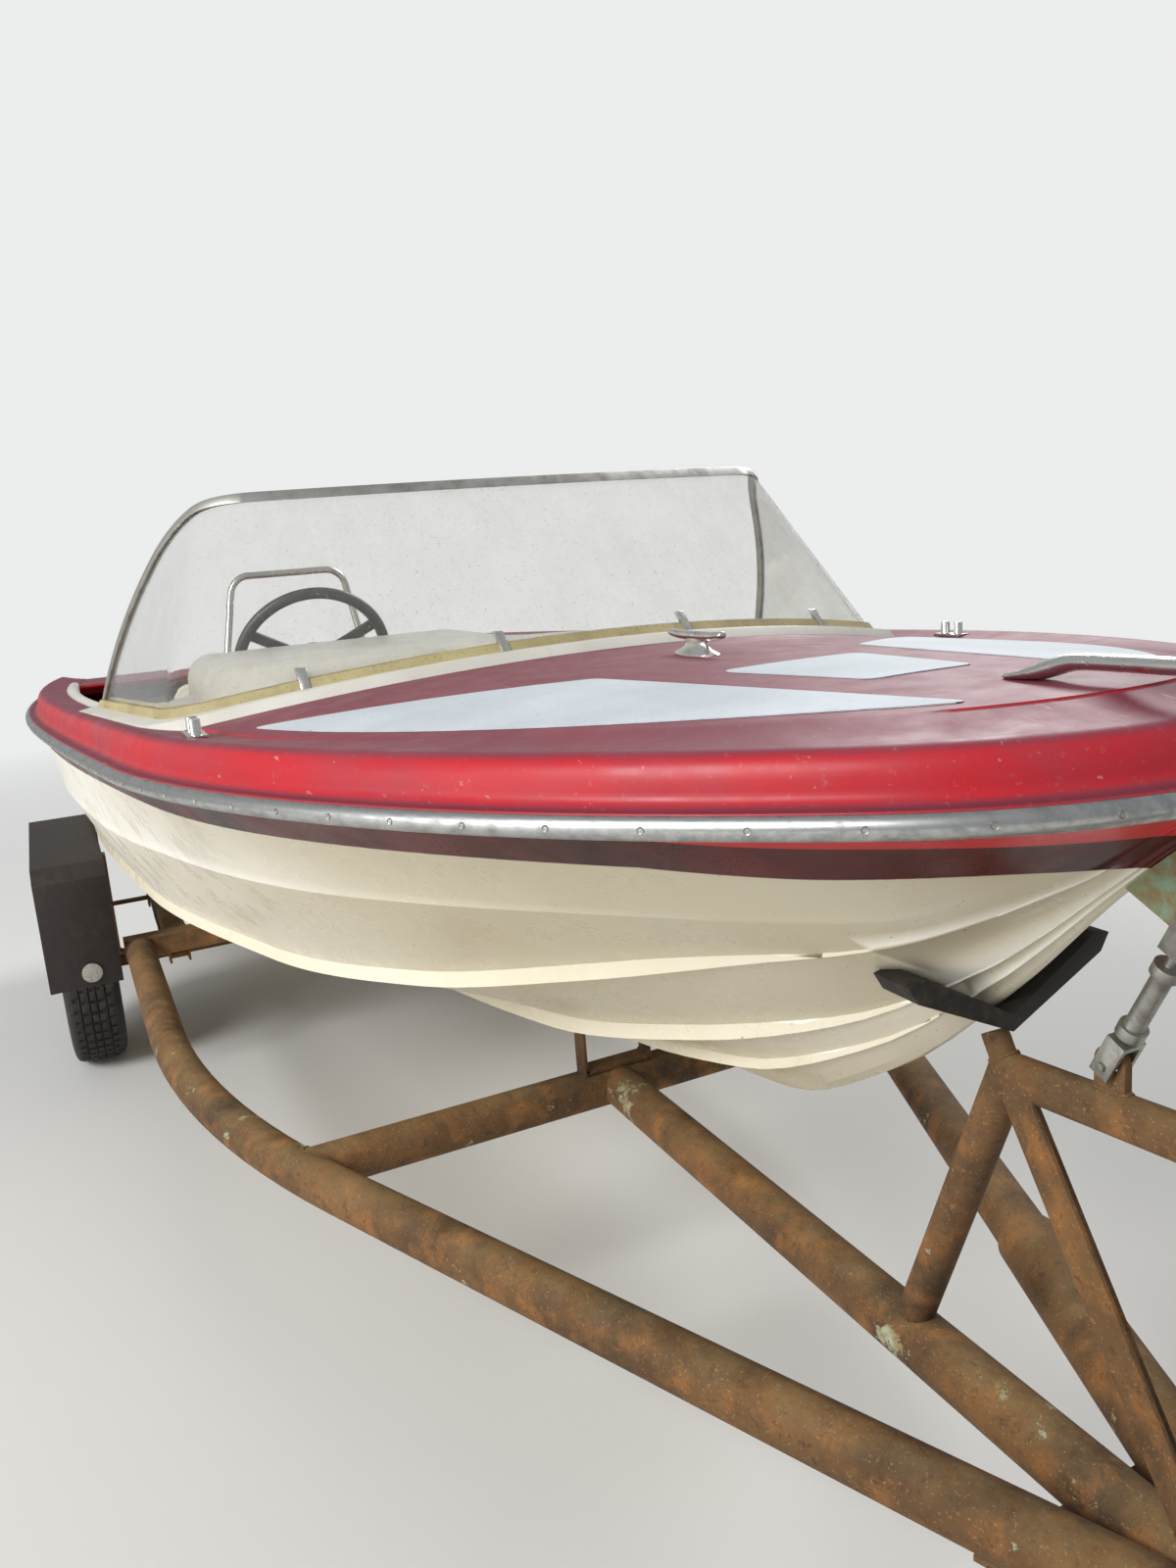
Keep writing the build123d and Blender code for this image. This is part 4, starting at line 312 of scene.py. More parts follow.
# %% Non-skid, white gelcoat, acrylic
NON_SKID_MARKS = [
    ("sun", 120, 4, 0.55, EVEN, 0.35, 0.7, 1.0, "#b1b8bd"),
    ("dirt", 2.4, 2, 0.5, EVEN, 0.60, 0.78, 0.5, "#8d8f8e"),
    ("leaf stains", 9, 3, 0.6, EVEN, 0.70, 0.74, 0.55, "#5f5544"),
]
WHITE_MARKS = [
    ("sun", 150, 4, 0.55, EVEN, 0.35, 0.7, 1.0, "#c9c5b8"),
    ("mildew", 3.0, 3, 0.6, EVEN, 0.68, 0.74, 0.6, "#3a362e"),
    ("streaks", 22, 4, 0.6, (1, 1, 6), 0.58, 0.8, 0.4, "#9c9479"),
]
NON_SKID_GRAIN_MM = 2.2


def make_non_skid():
    """Cool white paint over a moulded sandy grain."""
    made, tree, shader, place = new_material("non_skid_painted", Roughness=0.62, IOR=1.5)
    base = weathered(tree, place, "#c6cdd2", NON_SKID_MARKS)
    sand = put(tree, "ShaderNodeTexVoronoi", {"Vector": place, "Scale": 1000 / NON_SKID_GRAIN_MM})
    painted(tree, shader, base, relief=sand.outputs["Distance"], depth_mm=0.35)
    return made


def make_white_gelcoat():
    """Off-white gelcoat, still glossy in places, with mildew and water streaks."""
    made, tree, shader, place = new_material("white_gelcoat_specked", Coat_Weight=0.2, IOR=1.52)
    base = weathered(tree, place, "#dedbd2", WHITE_MARKS)
    painted(tree, shader, base, patches(tree, place, 30, 0.3, 0.7, to=(0.28, 0.5)))
    return made


def make_acrylic():
    """Clear sheet with a film of dust, specks, and scratches that run down it."""
    made, tree, shader, place = new_material("smoked_acrylic_scratched", Transmission_Weight=1.0, IOR=1.03,
                                             Coat_Weight=0.9, Coat_IOR=1.49, Coat_Roughness=0.04)
    film = patches(tree, place, 40, 0.40, 0.85, 8, 0.75, (1, 1, 2))
    specks = patches(tree, place, 3.0, 0.66, 0.70, 3, 0.6)
    scratch = patches(tree, place, 2.6, 0.74, 0.78, 2, 0.5, (1, 1, 26))
    marks = put(tree, "ShaderNodeMath", {0: specks, 1: scratch}, operation="MAXIMUM").outputs[0]
    tint = laid_over(tree, laid_over(tree, "#f4f4f2", "#eae9e5", film), "#b5b0a4", marks)
    rough = put(tree, "ShaderNodeMapRange", {0: marks, 3: 0.01, 4: 0.3}).outputs[0]
    painted(tree, shader, tint, rough)
    dust = put(tree, "ShaderNodeBsdfDiffuse", {"Color": colour("#c9c6bc")}).outputs[0]
    amount = put(tree, "ShaderNodeMath", {0: film, 1: 0.05, 2: 0.02}, operation="MULTIPLY_ADD").outputs[0]
    amount = put(tree, "ShaderNodeMath", {0: marks, 1: 0.35, 2: amount}, operation="MULTIPLY_ADD",
                 use_clamp=True).outputs[0]
    both = put(tree, "ShaderNodeMixShader", {0: amount, 1: shader.outputs[0], 2: dust}).outputs[0]
    tree.links.new(both, tree.nodes["Material Output"].inputs[0])
    return made


def make_plastic(name, hex_value, roughness, worn_hex, wear_mm=12):
    """A moulded plastic or rubber that has weathered towards a paler or greyer colour."""
    made, tree, shader, place = new_material(name, IOR=1.5)
    worn = patches(tree, place, wear_mm, 0.45, 0.75, 5, 0.65)
    broad = patches(tree, place, wear_mm * 8, 0.3, 0.75, 3, 0.6, to=(0.2, 0.9))
    amount = put(tree, "ShaderNodeMath", {0: worn, 1: broad}, operation="MULTIPLY").outputs[0]
    rougher = min(1.0, roughness + 0.18)
    rough = put(tree, "ShaderNodeMapRange", {0: worn, 3: roughness, 4: rougher}).outputs[0]
    base = laid_over(tree, hex_value, worn_hex, amount)
    painted(tree, shader, base, rough, cloud(tree, place, 1.5, 3, 0.6), 0.06)
    return made


NON_SKID = make_non_skid()
WHITE_GELCOAT = make_white_gelcoat()
ACRYLIC = make_acrylic()
BLACK_PLASTIC = make_plastic("black_plastic_sunned", "#1b1a19", 0.42, "#4a4641")
BLACK_RUBBER = make_plastic("black_rubber_perished", "#1d1a17", 0.7, "#54493a", 9)
TYRE_RUBBER = make_plastic("tyre_rubber_dusty", "#232120", 0.78, "#5a5348", 16)
GUARD_PLASTIC = make_plastic("brown_plastic_weathered", "#221b17", 0.62, "#443832", 10)

# %% [markdown]
# The windscreen's seal is an extruded vinyl rope, once white, now the yellow of old piano keys with
# black mildew in its pores. Its spots are small and crowded in places, so two patterns multiply:
# one for the spot, one for the crowd.

# %% Yellowed seal
SEAL_SUN = [("sun", 50, 4, 0.55, EVEN, 0.35, 0.7, 1.0, "#94865f")]


def make_seal():
    """Yellowed vinyl with crowded mildew."""
    made, tree, shader, place = new_material("beige_vinyl_mildewed", Roughness=0.55, IOR=1.5)
    spots = patches(tree, place, 2.0, 0.58, 0.66, 3, 0.6)
    crowd = patches(tree, place, 40, 0.40, 0.62, 3, 0.6, to=(0.15, 0.95))
    mildew = put(tree, "ShaderNodeMath", {0: spots, 1: crowd}, operation="MULTIPLY").outputs[0]
    base = laid_over(tree, weathered(tree, place, "#b8aa7c", SEAL_SUN), "#453c28", mildew)
    painted(tree, shader, base, relief=cloud(tree, place, 3, 4, 0.6), depth_mm=0.25)
    return made


BEIGE_RUBBER = make_seal()

# %% [markdown]
# ### Metals
#
# Aluminium left outdoors grows a dull grey oxide. Cast deck fittings are chromed bronze or zinc:
# they stay mirror-bright in places and pit in others. The trailer is painted steel tube where the
# pale blue-green paint now hangs on as islands in the rust.
# Each metal gets its roughness from the same pattern as its colour, because oxide is both darker
# and duller. The rust is not metallic at all.

# %% Aluminium, chrome and zinc
def make_metal(name, bright, dull, smooth, rough, oxide_mm, stretch=EVEN):
    """Bare metal with patches of oxide."""
    made, tree, shader, place = new_material(name, Metallic=1.0)
    oxide = patches(tree, place, oxide_mm, 0.4, 0.7, 6, 0.65, stretch)
    base = laid_over(tree, bright, dull, oxide)
    roughness = put(tree, "ShaderNodeMapRange", {0: oxide, 3: smooth, 4: rough}).outputs[0]
    painted(tree, shader, base, roughness, cloud(tree, place, 1.2, 3, 0.6), 0.04)
    return made


def make_pitted_chrome():
    """Chrome that has clouded, with pits where it lifted."""
    made, tree, shader, place = new_material("chromed_casting_pitted", Metallic=1.0)
    pits = patches(tree, place, 2.4, 0.62, 0.70, 3, 0.6)
    clouded = patches(tree, place, 26, 0.42, 0.72, 4, 0.6)
    base = laid_over(tree, "#dddcd7", "#b5b2a9", clouded)
    base = laid_over(tree, base, "#4f493f", pits, 0.75)
    rough = put(tree, "ShaderNodeMath", {0: clouded, 1: 0.22, 2: 0.20}, operation="MULTIPLY_ADD").outputs[0]
    rough = put(tree, "ShaderNodeMath", {0: pits, 1: 0.35, 2: rough}, operation="MULTIPLY_ADD").outputs[0]
    sunk = put(tree, "ShaderNodeMath", {0: pits, 1: -1.0}, operation="MULTIPLY").outputs[0]
    painted(tree, shader, base, rough, sunk, 0.12)
    return made


RAIL_ALUMINIUM = make_metal("rail_aluminium_oxidised", "#bdbebc", "#8f908e", 0.30, 0.52, 7, (2.5, 1, 1))
TRIM_ALUMINIUM = make_metal("trim_aluminium_dull", "#c4c2bc", "#96928a", 0.42, 0.6, 24)
ZINC_STEEL = make_metal("zinc_plated_steel_dull", "#a7a69f", "#77706a", 0.42, 0.68, 12)
DECK_CHROME = make_pitted_chrome()

# %% [markdown]
# Rust is built in layers, as it grows: an even brown film, then orange blooms, then dark scale,
# and on top of the tubes a paler tone, partly dust and partly painted light where the sun falls.
# The paint that is left sits on top, with a crisp edge, because paint lifts off in flakes.
# A flake's edge is a step, so the same mask that mixes the colours also drives the relief.

# %% Rusty steel, with and without its paint
RUST_MARKS = [
    ("film", 110, 5, 0.65, EVEN, 0.36, 0.64, 1.0, "#75532d"),
    ("blooms", 24, 7, 0.72, EVEN, 0.50, 0.66, 0.75, "#96622f"),
    ("scale", 6, 6, 0.72, EVEN, 0.53, 0.66, 0.75, "#33251a"),
]
RUST_FLECKS = [("flecks", 1.9, 3, 0.6, EVEN, 0.60, 0.70, 0.35, "#b59a6a")]
PAINT_MARKS = [
    ("dirt", 14, 5, 0.55, EVEN, 0.35, 0.7, 1.0, "#8f8152"),
    ("film rust", 7, 5, 0.7, EVEN, 0.42, 0.68, 0.85, "#84602f"),
]
PAINT_PATCH_MM = 60
PAINT_EDGE = 0.015


def make_rusty(name, paint_hex, paint_starts):
    """Rust, with paint left on it where a pattern is over paint_starts. Near 1 there is none."""
    made, tree, shader, place = new_material(name, IOR=1.5)
    base = weathered(tree, place, "#43301b", RUST_MARKS)
    # Paler on top: partly dust, partly painted light where the sun falls on the tubes
    top_patches = patches(tree, place, 30, 0.35, 0.6, 6, 0.7)
    upper = facing_up(tree, 0.35, 0.95, 0.3)
    dust_and_top_light = put(tree, "ShaderNodeMath", {0: upper, 1: top_patches}, operation="MULTIPLY").outputs[0]
    base = laid_over(tree, base, "#927d55", dust_and_top_light)
    base = weathered(tree, place, base, RUST_FLECKS)
    left = patches(tree, place, PAINT_PATCH_MM, paint_starts, paint_starts + PAINT_EDGE, 9, 0.74)
    base = laid_over(tree, base, weathered(tree, place, paint_hex, PAINT_MARKS), left)
    rough = put(tree, "ShaderNodeMapRange", {0: left, 3: 0.86, 4: 0.62}).outputs[0]
    crust = put(tree, "ShaderNodeMath", {0: cloud(tree, place, 3.5, 5, 0.7), 1: 0.6, 2: left},
                operation="MULTIPLY_ADD").outputs[0]
    painted(tree, shader, base, rough, crust, 0.4)
    return made


RUSTY_PAINT = make_rusty("steel_rusty_paint_flaked", "#a3ad96", 0.625)
RUSTY_STEEL = make_rusty("steel_rusty_bare", "#8b9c8c", 0.95)
RIM_PAINT = make_rusty("rim_steel_cream_paint", "#b9b19a", 0.45)
GREEN_STEEL = make_rusty("bow_eye_verdigris", "#7f9a80", 0.36)

# %% [markdown]
# ### Inside the boat
#
# The interior of such a runabout is varnished plywood, a marine carpet and seats of embossed vinyl.
# The vinyl's leather grain is a Voronoi relief, about 1.6 mm a cell.

# %% Vinyl, carpet, ply and timber
VINYL_MARKS = [
    ("sun", 90, 4, 0.55, EVEN, 0.35, 0.7, 1.0, "#b9b09a"),
    ("grime", 12, 5, 0.7, EVEN, 0.6, 0.8, 0.4, "#7a705a"),
]
CARPET_MARKS = [
    ("tufts", 3, 3, 0.7, EVEN, 0.35, 0.7, 1.0, "#5d6063"),
    ("dirt", 60, 6, 0.7, EVEN, 0.45, 0.75, 1.0, "#5c5241"),
]
VINYL_GRAIN_MM = 1.6
LENS_CELL_MM = 2.5


def make_vinyl():
    """Cream vinyl with a leather grain."""
    made, tree, shader, place = new_material("seat_vinyl_cream", Roughness=0.48, IOR=1.5)
    base = weathered(tree, place, "#d2cbb8", VINYL_MARKS)
    leather = put(tree, "ShaderNodeTexVoronoi", {"Vector": place, "Scale": 1000 / VINYL_GRAIN_MM})
    painted(tree, shader, base, relief=leather.outputs["Distance"], depth_mm=0.12)
    return made


def make_carpet():
    """Needled marine carpet, dirty where feet go."""
    made, tree, shader, place = new_material("sole_carpet_grey", Roughness=0.95, IOR=1.45, Sheen_Weight=0.3)
    base = weathered(tree, place, "#3f4347", CARPET_MARKS)
    painted(tree, shader, base, relief=cloud(tree, place, 2, 4, 0.8), depth_mm=1.2)
    return made


def make_wood(name, light, dark, roughness, coat):
    """Boards whose grain runs fore and aft."""
    made, tree, shader, place = new_material(name, Roughness=roughness, IOR=1.5, Coat_Weight=coat,
                                             Coat_Roughness=0.15)
    fibre = cloud(tree, place, 5, 5, 0.6, (22, 1, 1))
    board = cloud(tree, place, 60, 3, 0.5, (6, 1, 1))
    fibres = put(tree, "ShaderNodeMath", {0: fibre, 1: 0.65}, operation="MULTIPLY").outputs[0]
    both = put(tree, "ShaderNodeMath", {0: board, 1: 0.35, 2: fibres}, operation="MULTIPLY_ADD").outputs[0]
    dark_part = put(tree, "ShaderNodeMapRange", {0: both, 1: 0.38, 2: 0.62}).outputs[0]
    painted(tree, shader, laid_over(tree, light, dark, dark_part), relief=fibre, depth_mm=0.2)
    return made


def make_lens():
    """A reflector's moulded prisms, gone grey."""
    made, tree, shader, place = new_material("reflector_lens_grey", Roughness=0.25, IOR=1.49)
    voronoi = put(tree, "ShaderNodeTexVoronoi", {"Vector": place, "Scale": 1000 / LENS_CELL_MM})
    cells = voronoi.outputs["Distance"]
    edges_of_cells = put(tree, "ShaderNodeMapRange", {0: cells, 1: 0.1, 2: 0.6}).outputs[0]
    painted(tree, shader, laid_over(tree, "#c2bdb6", "#8d8782", edges_of_cells), relief=cells, depth_mm=0.4)
    return made


SEAT_VINYL = make_vinyl()
SOLE_CARPET = make_carpet()
VARNISHED_PLY = make_wood("plywood_varnished", "#9a6a3c", "#6d4526", 0.4, 0.4)
BUNK_TIMBER = make_wood("bunk_timber_grey", "#6b6254", "#3f382e", 0.85, 0.0)
REFLECTOR_LENS = make_lens()

# %% Which material each slot wears
MATERIAL_OF_SLOT = {
    "hull_gelcoat": HULL_GELCOAT, "deck_gelcoat": RED_GELCOAT, "non_skid": NON_SKID,
    "rail_aluminium": RAIL_ALUMINIUM, "trim_aluminium": TRIM_ALUMINIUM, "smoked_acrylic": ACRYLIC,
    "beige_rubber": BEIGE_RUBBER, "white_gelcoat": WHITE_GELCOAT, "deck_chrome": DECK_CHROME,
    "black_plastic": BLACK_PLASTIC, "seat_vinyl": SEAT_VINYL, "sole_carpet": SOLE_CARPET,
    "varnished_ply": VARNISHED_PLY, "rusty_paint": RUSTY_PAINT, "rusty_steel": RUSTY_STEEL,
    "zinc_steel": ZINC_STEEL, "green_steel": GREEN_STEEL, "tyre_rubber": TYRE_RUBBER,
    "rim_paint": RIM_PAINT, "bunk_timber": BUNK_TIMBER, "black_rubber": BLACK_RUBBER,
    "guard_plastic": GUARD_PLASTIC, "reflector_lens": REFLECTOR_LENS,
}
print("materials:", len(MATERIAL_OF_SLOT))

# %% [markdown]
# ## Dressing the solids
#
# A solid from CAD has knife edges, and real things never do: a hull has a radius where the mould
# turned, and a tube's cut end is dressed with a file. Those small radii catch a line of light.
# So each rigid solid gets a copy with its coincident corners merged, flat faces kept crisp by
# marking the sharp edges, and a narrow bevel along them. The copy takes the solid's place in the
# picture, while the solid itself goes on doing its duty in the physics.

# %% Helpers for pieces
SLOT_OF_NODE = {p["node"]: p["material_slot"] for p in frame["record"]["subparts"]}
BODY_OF_NODE = {n: body for body, nodes in frame["record"]["behaviour"]["bodies"].items() for n in nodes}
MERGE = 0.00001
SHARP = math.radians(32)

scene = bpy.context.scene


def stood(name, data):
    """A new object in the scene."""
    made = bpy.data.objects.new(name, data)
    scene.collection.objects.link(made)
    return made


def poured(source, name):
    """Turn a bmesh into a mesh and free it."""
    mesh = bpy.data.meshes.new(name)
    source.to_mesh(mesh)
    source.free()
    return mesh


def smooth_shading(mesh, angle=SHARP):
    """Smooth faces, with edges sharper than the angle kept crisp."""
    mesh.polygons.foreach_set("use_smooth", [True] * len(mesh.polygons))
    mesh.set_sharp_from_angle(angle=angle)


def finished(name, bm, slot, body="outfit", replaced=(), material=None, angle=SHARP):
    """Make an object of the bmesh, shade it, paint it and let it ride on its body."""
    mesh = poured(bm, name)
    smooth_shading(mesh, angle)
    mesh.materials.clear()
    mesh.materials.append(material or MATERIAL_OF_SLOT[slot])
    piece = stood(name, mesh)
    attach(piece, body)
    if replaced:
        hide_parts(*replaced)
    return piece


def merged(node):
    """A bmesh of a CAD node with its doubled corners merged."""
    bm = bmesh.new()
    bm.from_mesh(frame["nodes"][node].data)
    bmesh.ops.remove_doubles(bm, verts=bm.verts, dist=MERGE)
    return bm


def rounded(bm, edges, radius, segments):
    """Round some edges with a radius."""
    bmesh.ops.bevel(bm, geom=edges, offset=radius, segments=segments, profile=0.5, material=-1,
                    affect="EDGES", clamp_overlap=True)


def soften(bm, radius, segments=2, angle=SHARP):
    """A narrow rounded edge along every sharp edge."""
    sharp = [e for e in bm.edges if e.is_manifold and e.calc_face_angle(0) > angle]
    rounded(bm, sharp, radius, segments)


# %% Dress the nodes that keep their shape
# Columns: radius of the softened edges in mm, nodes
SOFTENED = [
    (0.0, ["coaming", "windscreen", "windscreen_seal", "rub_rail", "motor_well"]),
    (0.4, ["windscreen_plinth", "windscreen_clips", "deck_bollards", "gauges"]),
    (0.5, ["windscreen_frame", "steering_column", "steering_wheel", "turnbuckle", "bow_eye"]),
    (0.8, ["motor_pad", "dash", "dash_cowl", "reflectors", "winch_drum", "jack_leg", "jack_body",
           "mudguards", "port_rim", "starboard_rim"]),
    (1.0, ["axle", "bow_stand", "bunk_posts", "centre_tube", "coupling", "front_cross_tube",
           "guard_brackets", "port_tube", "starboard_tube", "rear_frame", "roller_brackets",
           "spring_hangers", "winch_post", "leaf_springs", "ski_hoop"]),
    (2.0, ["bow_chock", "bunks", "keel_rollers", "seat_bases", "cockpit_sole"]),
]
for radius_mm, nodes in SOFTENED:
    for node in nodes:
        bm = merged(node)
        if radius_mm:
            soften(bm, radius_mm / 1000)
        finished(node + "_skin", bm, SLOT_OF_NODE[node], BODY_OF_NODE[node], [node])
print("dressed:", sum(len(nodes) for _, nodes in SOFTENED), "of", len(frame["nodes"]))

# %% [markdown]
# ## Hull skin
#
# The solid hull is lofted with straight runs between its sections, so its stem and keel show faint
# corners. The mould of the real boat was faired with long battens. The skin here is drawn the way
# a loftsman does it: a table of stations, and a smooth cubic run from one row to the next.
# One section is an open chain of edges, from the keel up to the sheer. It is extruded station by
# station, and each new chain is moved to its place. Strake and chine steps get three points, so
# they stay narrow and crisp, while the knuckle on the topside is soft.

# %% Lines of the hull
BOAT_LENGTH = 4.3
# Plan outline of the rub rail, a chain of tangent arcs: (aft, half beam)
RAIL_KNOTS = [(0, 0), (0.12, 0.29), (0.5, 0.57), (1.25, 0.8), (2.3, 0.895), (BOAT_LENGTH, 0.85)]
# (aft, keel z, keel half width, strake y, strake z, chine y, chine z, step), in mm
HULL_STATIONS = [
    (12, 1186, 3, 8, 1188, 17, 1191, 0.6),
    (60, 1150, 3, 12, 1156, 32, 1164, 0.8),
    (140, 1078, 4, 16, 1088, 44, 1102, 1.2),
    (260, 953, 5, 38, 982, 150, 1030, 4),
    (450, 787, 7, 92, 862, 228, 968, 9),
    (680, 664, 10, 160, 775, 322, 898, 12),
    (1000, 622, 12, 240, 700, 440, 815, 13),
    (1500, 606, 12, 322, 664, 575, 738, 13),
    (2200, 600, 12, 385, 652, 725, 710, 13),
    (3200, 600, 12, 405, 652, 800, 704, 13),
    (4300, 600, 12, 405, 652, 790, 704, 13),
]
FULL_STEP = 13


def chain_arcs(knots):
    """Tangent arcs through the knots: (centre aft, centre beam, radius, heading at start, at end)."""
    arcs = []
    heading = math.pi / 2
    for (aft_0, beam_0), (aft_1, beam_1) in zip(knots, knots[1:]):
        chord = math.atan2(beam_1 - beam_0, aft_1 - aft_0)
        half_turn = heading - chord
        radius = math.hypot(aft_1 - aft_0, beam_1 - beam_0) / (2 * math.sin(half_turn))
        centre = (aft_0 + radius * math.sin(heading), beam_0 - radius * math.cos(heading))
        arcs.append((*centre, radius, heading, chord - half_turn))
        heading = chord - half_turn
    return arcs


RAIL_ARCS = chain_arcs(RAIL_KNOTS)


def rail_half_beam(aft, inset=0.0):
    """Half beam of the rail line, moved inboard, at a place so far aft of the tip."""
    arc = next(a for knot, a in zip(RAIL_KNOTS[1:], RAIL_ARCS) if aft <= knot[0] + 1e-9)
    return arc[1] + math.sqrt(max((arc[2] - inset) ** 2 - (aft - arc[0]) ** 2, 0))


def fair_slope(table, row, column):
    """Slope of a table's column at a row, kept from overshooting."""
    if row in (0, len(table) - 1):
        near = 1 if row == 0 else row - 1
        return (table[near][column] - table[row][column]) / (table[near][0] - table[row][0])
    before, here, after = table[row - 1 : row + 2]
    slope_in = (here[column] - before[column]) / (here[0] - before[0])
    slope_out = (after[column] - here[column]) / (after[0] - here[0])
    return 0 if slope_in * slope_out <= 0 else 2 * slope_in * slope_out / (slope_in + slope_out)


def fair_station(aft_mm):
    """A row of the station table at any place, by cubic runs between the rows."""
    row = max(i for i in range(len(HULL_STATIONS) - 1) if i == 0 or HULL_STATIONS[i][0] <= aft_mm)
    before, after = HULL_STATIONS[row : row + 2]
    run = after[0] - before[0]
    t = (aft_mm - before[0]) / run
    values = []
    for column in range(1, len(before)):
        slopes = [fair_slope(HULL_STATIONS, r, column) * run for r in (row, row + 1)]
        values.append((2 * t**3 - 3 * t**2 + 1) * before[column] + (t**3 - 2 * t**2 + t) * slopes[0]
                      + (3 * t**2 - 2 * t**3) * after[column] + (t**3 - t**2) * slopes[1])
    return values


def fade_in(value, low, high):
    """0 below low, 1 above high, and a smooth S between."""
    t = min(max((value - low) / (high - low), 0), 1)
    return t * t * (3 - 2 * t)


def hull_points(aft):
    """Port half of a hull section, keel to sheer, as places in metres."""
    keel_z, keel_half, strake_y, strake_z, chine_y, chine_z, step = fair_station(aft * 1000)
    share = step / FULL_STEP
    step *= 0.04 + 0.28 * fade_in(aft, 0.06, 0.20) + 0.68 * fade_in(aft, 0.28, 0.60)
    ridge_y, ridge_z = keel_half + 20 * share, keel_z + 14 * share
    inner_y = ridge_y + (strake_y - ridge_y) * 0.45
    inner_z = ridge_z + (strake_z - ridge_z) * 0.45 - 6 * share
    points = [(keel_half, keel_z), (ridge_y, ridge_z)]
    for y, z, s in ((inner_y, inner_z, step * 0.7), (strake_y, strake_z, step), (chine_y, chine_z, step)):
        points += [(y - s, z + 0.3 * s), (y, z), (y - 0.2 * s, z + 1.8 * s)]
    sheer_y = rail_half_beam(aft, 0.011) * 1000
    low_y, low_z = points[-1]
    topside = (SHEER_Z - aft * math.tan(SHEER_FALL)) * 1000 - low_z
    level = max(1 - min(118 + 45 * aft, 200) / topside, 0.15)
    # The knuckle: below it the side swells out, and above it the side steps in and stands back
    for rise, back in ((level * 0.5, 0), (level - 0.02, 0), (level, 0), (level + 0.02, 2.2),
                       (level + 0.06, 4.4), ((1 + level) / 2, 4), (1, 0)):
        out = (min(rise / level, (1 - rise) / (1 - level), 0.97) * 20 - back) * share
        points.append((low_y + (sheer_y - low_y) * rise + out, low_z + topside * rise))
    return [(BOW_X - aft, y / 1000, z / 1000) for y, z in points]


# %% Chains of edges
def chain(bm, places):
    """An open chain of edges through some places."""
    verts = [bm.verts.new(place) for place in places]
    return [bm.edges.new(pair) for pair in zip(verts, verts[1:])]


def chain_verts(edges):
    """The points of a chain of edges, in order."""
    verts = [edges[0].verts[0] if edges[0].verts[0] not in edges[1].verts else edges[0].verts[1]]
    for edge in edges:
        verts.append(edge.other_vert(verts[-1]))
    return verts


def extrude_chain(bm, edges, places):
    """Extrude a chain of edges and put the new chain through the places. Returns its edges."""
    verts = chain_verts(edges)
    made = bmesh.ops.extrude_edge_only(bm, edges=edges)["geom"]
    new_verts = [v for v in made if isinstance(v, bmesh.types.BMVert)]
    by_place = {tuple(round(c, 7) for c in v.co): v for v in new_verts}
    ordered = [by_place[tuple(round(c, 7) for c in v.co)] for v in verts]
    for vert, place in zip(ordered, places):
        vert.co = place
    return [bm.edges.get(pair) for pair in zip(ordered, ordered[1:])]


def lofted(bm, rows):
    """Extrude a chain through rows of places. Yields the points of each row."""
    edges = None
    for places in rows:
        edges = chain(bm, places) if edges is None else extrude_chain(bm, edges, places)
        yield chain_verts(edges)


# %% Hull skin
# Places of the sections: close together round the stem, then even
STEM_AFTS = [0.012 + 0.3 * (i / 40) ** 1.3 for i in range(40)]
SIDE_AFTS = [min(0.33 + i * (3.97 / 90), BOAT_LENGTH) for i in range(91)]
# The upright strips of the strakes and the chine, as pairs of rows. They have yellowed more, and are also
# darkened as painted shade
STRIPS = ({3, 4}, {6, 7}, {9, 10})
LENGTHWISE_SHARP = math.radians(8)
COVERED_WITHIN = 0.006

skin = bmesh.new()
row_of = skin.verts.layers.int.new("row")
for verts in lofted(skin, [hull_points(aft) for aft in STEM_AFTS + SIDE_AFTS]):
    for row, vert in enumerate(verts):
        vert[row_of] = row
strip = skin.faces.layers.float.new("strip")
for face in skin.faces:
    face[strip] = 1.0 if {v[row_of] for v in face.verts} in STRIPS else 0.0
bmesh.ops.mirror(skin, geom=skin.verts[:] + skin.edges[:] + skin.faces[:], merge_dist=0, axis="Y")
keel = [e for e in skin.edges if e.is_boundary and all(abs(v.co.y) < 0.0125 for v in e.verts)
        and all(v.co.z < 1.188 for v in e.verts)]
bmesh.ops.bridge_loops(skin, edges=keel)
bmesh.ops.recalc_face_normals(skin, faces=skin.faces)
if min(skin.faces, key=lambda f: f.calc_center_median().z).normal.z > 0:
    bmesh.ops.reverse_faces(skin, faces=skin.faces)

# Of the solid there stay the faces that the skin doesn't cover: the inside and the transom
hull_bm = merged("hull")
cover = BVHTree.FromBMesh(skin)
covered = []
for face in hull_bm.faces:
    hit, normal, _, _ = cover.find_nearest(face.calc_center_median(), COVERED_WITHIN)
    if hit is not None and normal.dot(face.normal) > 0.8:
        covered.append(face)
print("hull faces that the skin covers:", len(covered))
bmesh.ops.delete(hull_bm, geom=covered, context="FACES")
hull_bm.faces.layers.float.new("strip")
hull_bm.from_mesh(poured(skin, "hull_skin_run"))
hull = finished("hull_skin", hull_bm, "hull_gelcoat", "outfit", ["hull"])

# Edges that run fore and aft stay crisp from a lower angle than the rest
bm = bmesh.new()
bm.from_mesh(hull.data)
for edge in bm.edges:
    along = edge.verts[1].co - edge.verts[0].co
    lengthwise = abs(along.x) > 0.5 * along.length and edge.verts[0].co.x < BOW_X - 0.3
    if edge.is_manifold and lengthwise and edge.calc_face_angle(0) > LENGTHWISE_SHARP:
        edge.smooth = False
bm.to_mesh(hull.data)
bm.free()
print("hull skin: faces", len(hull.data.polygons))

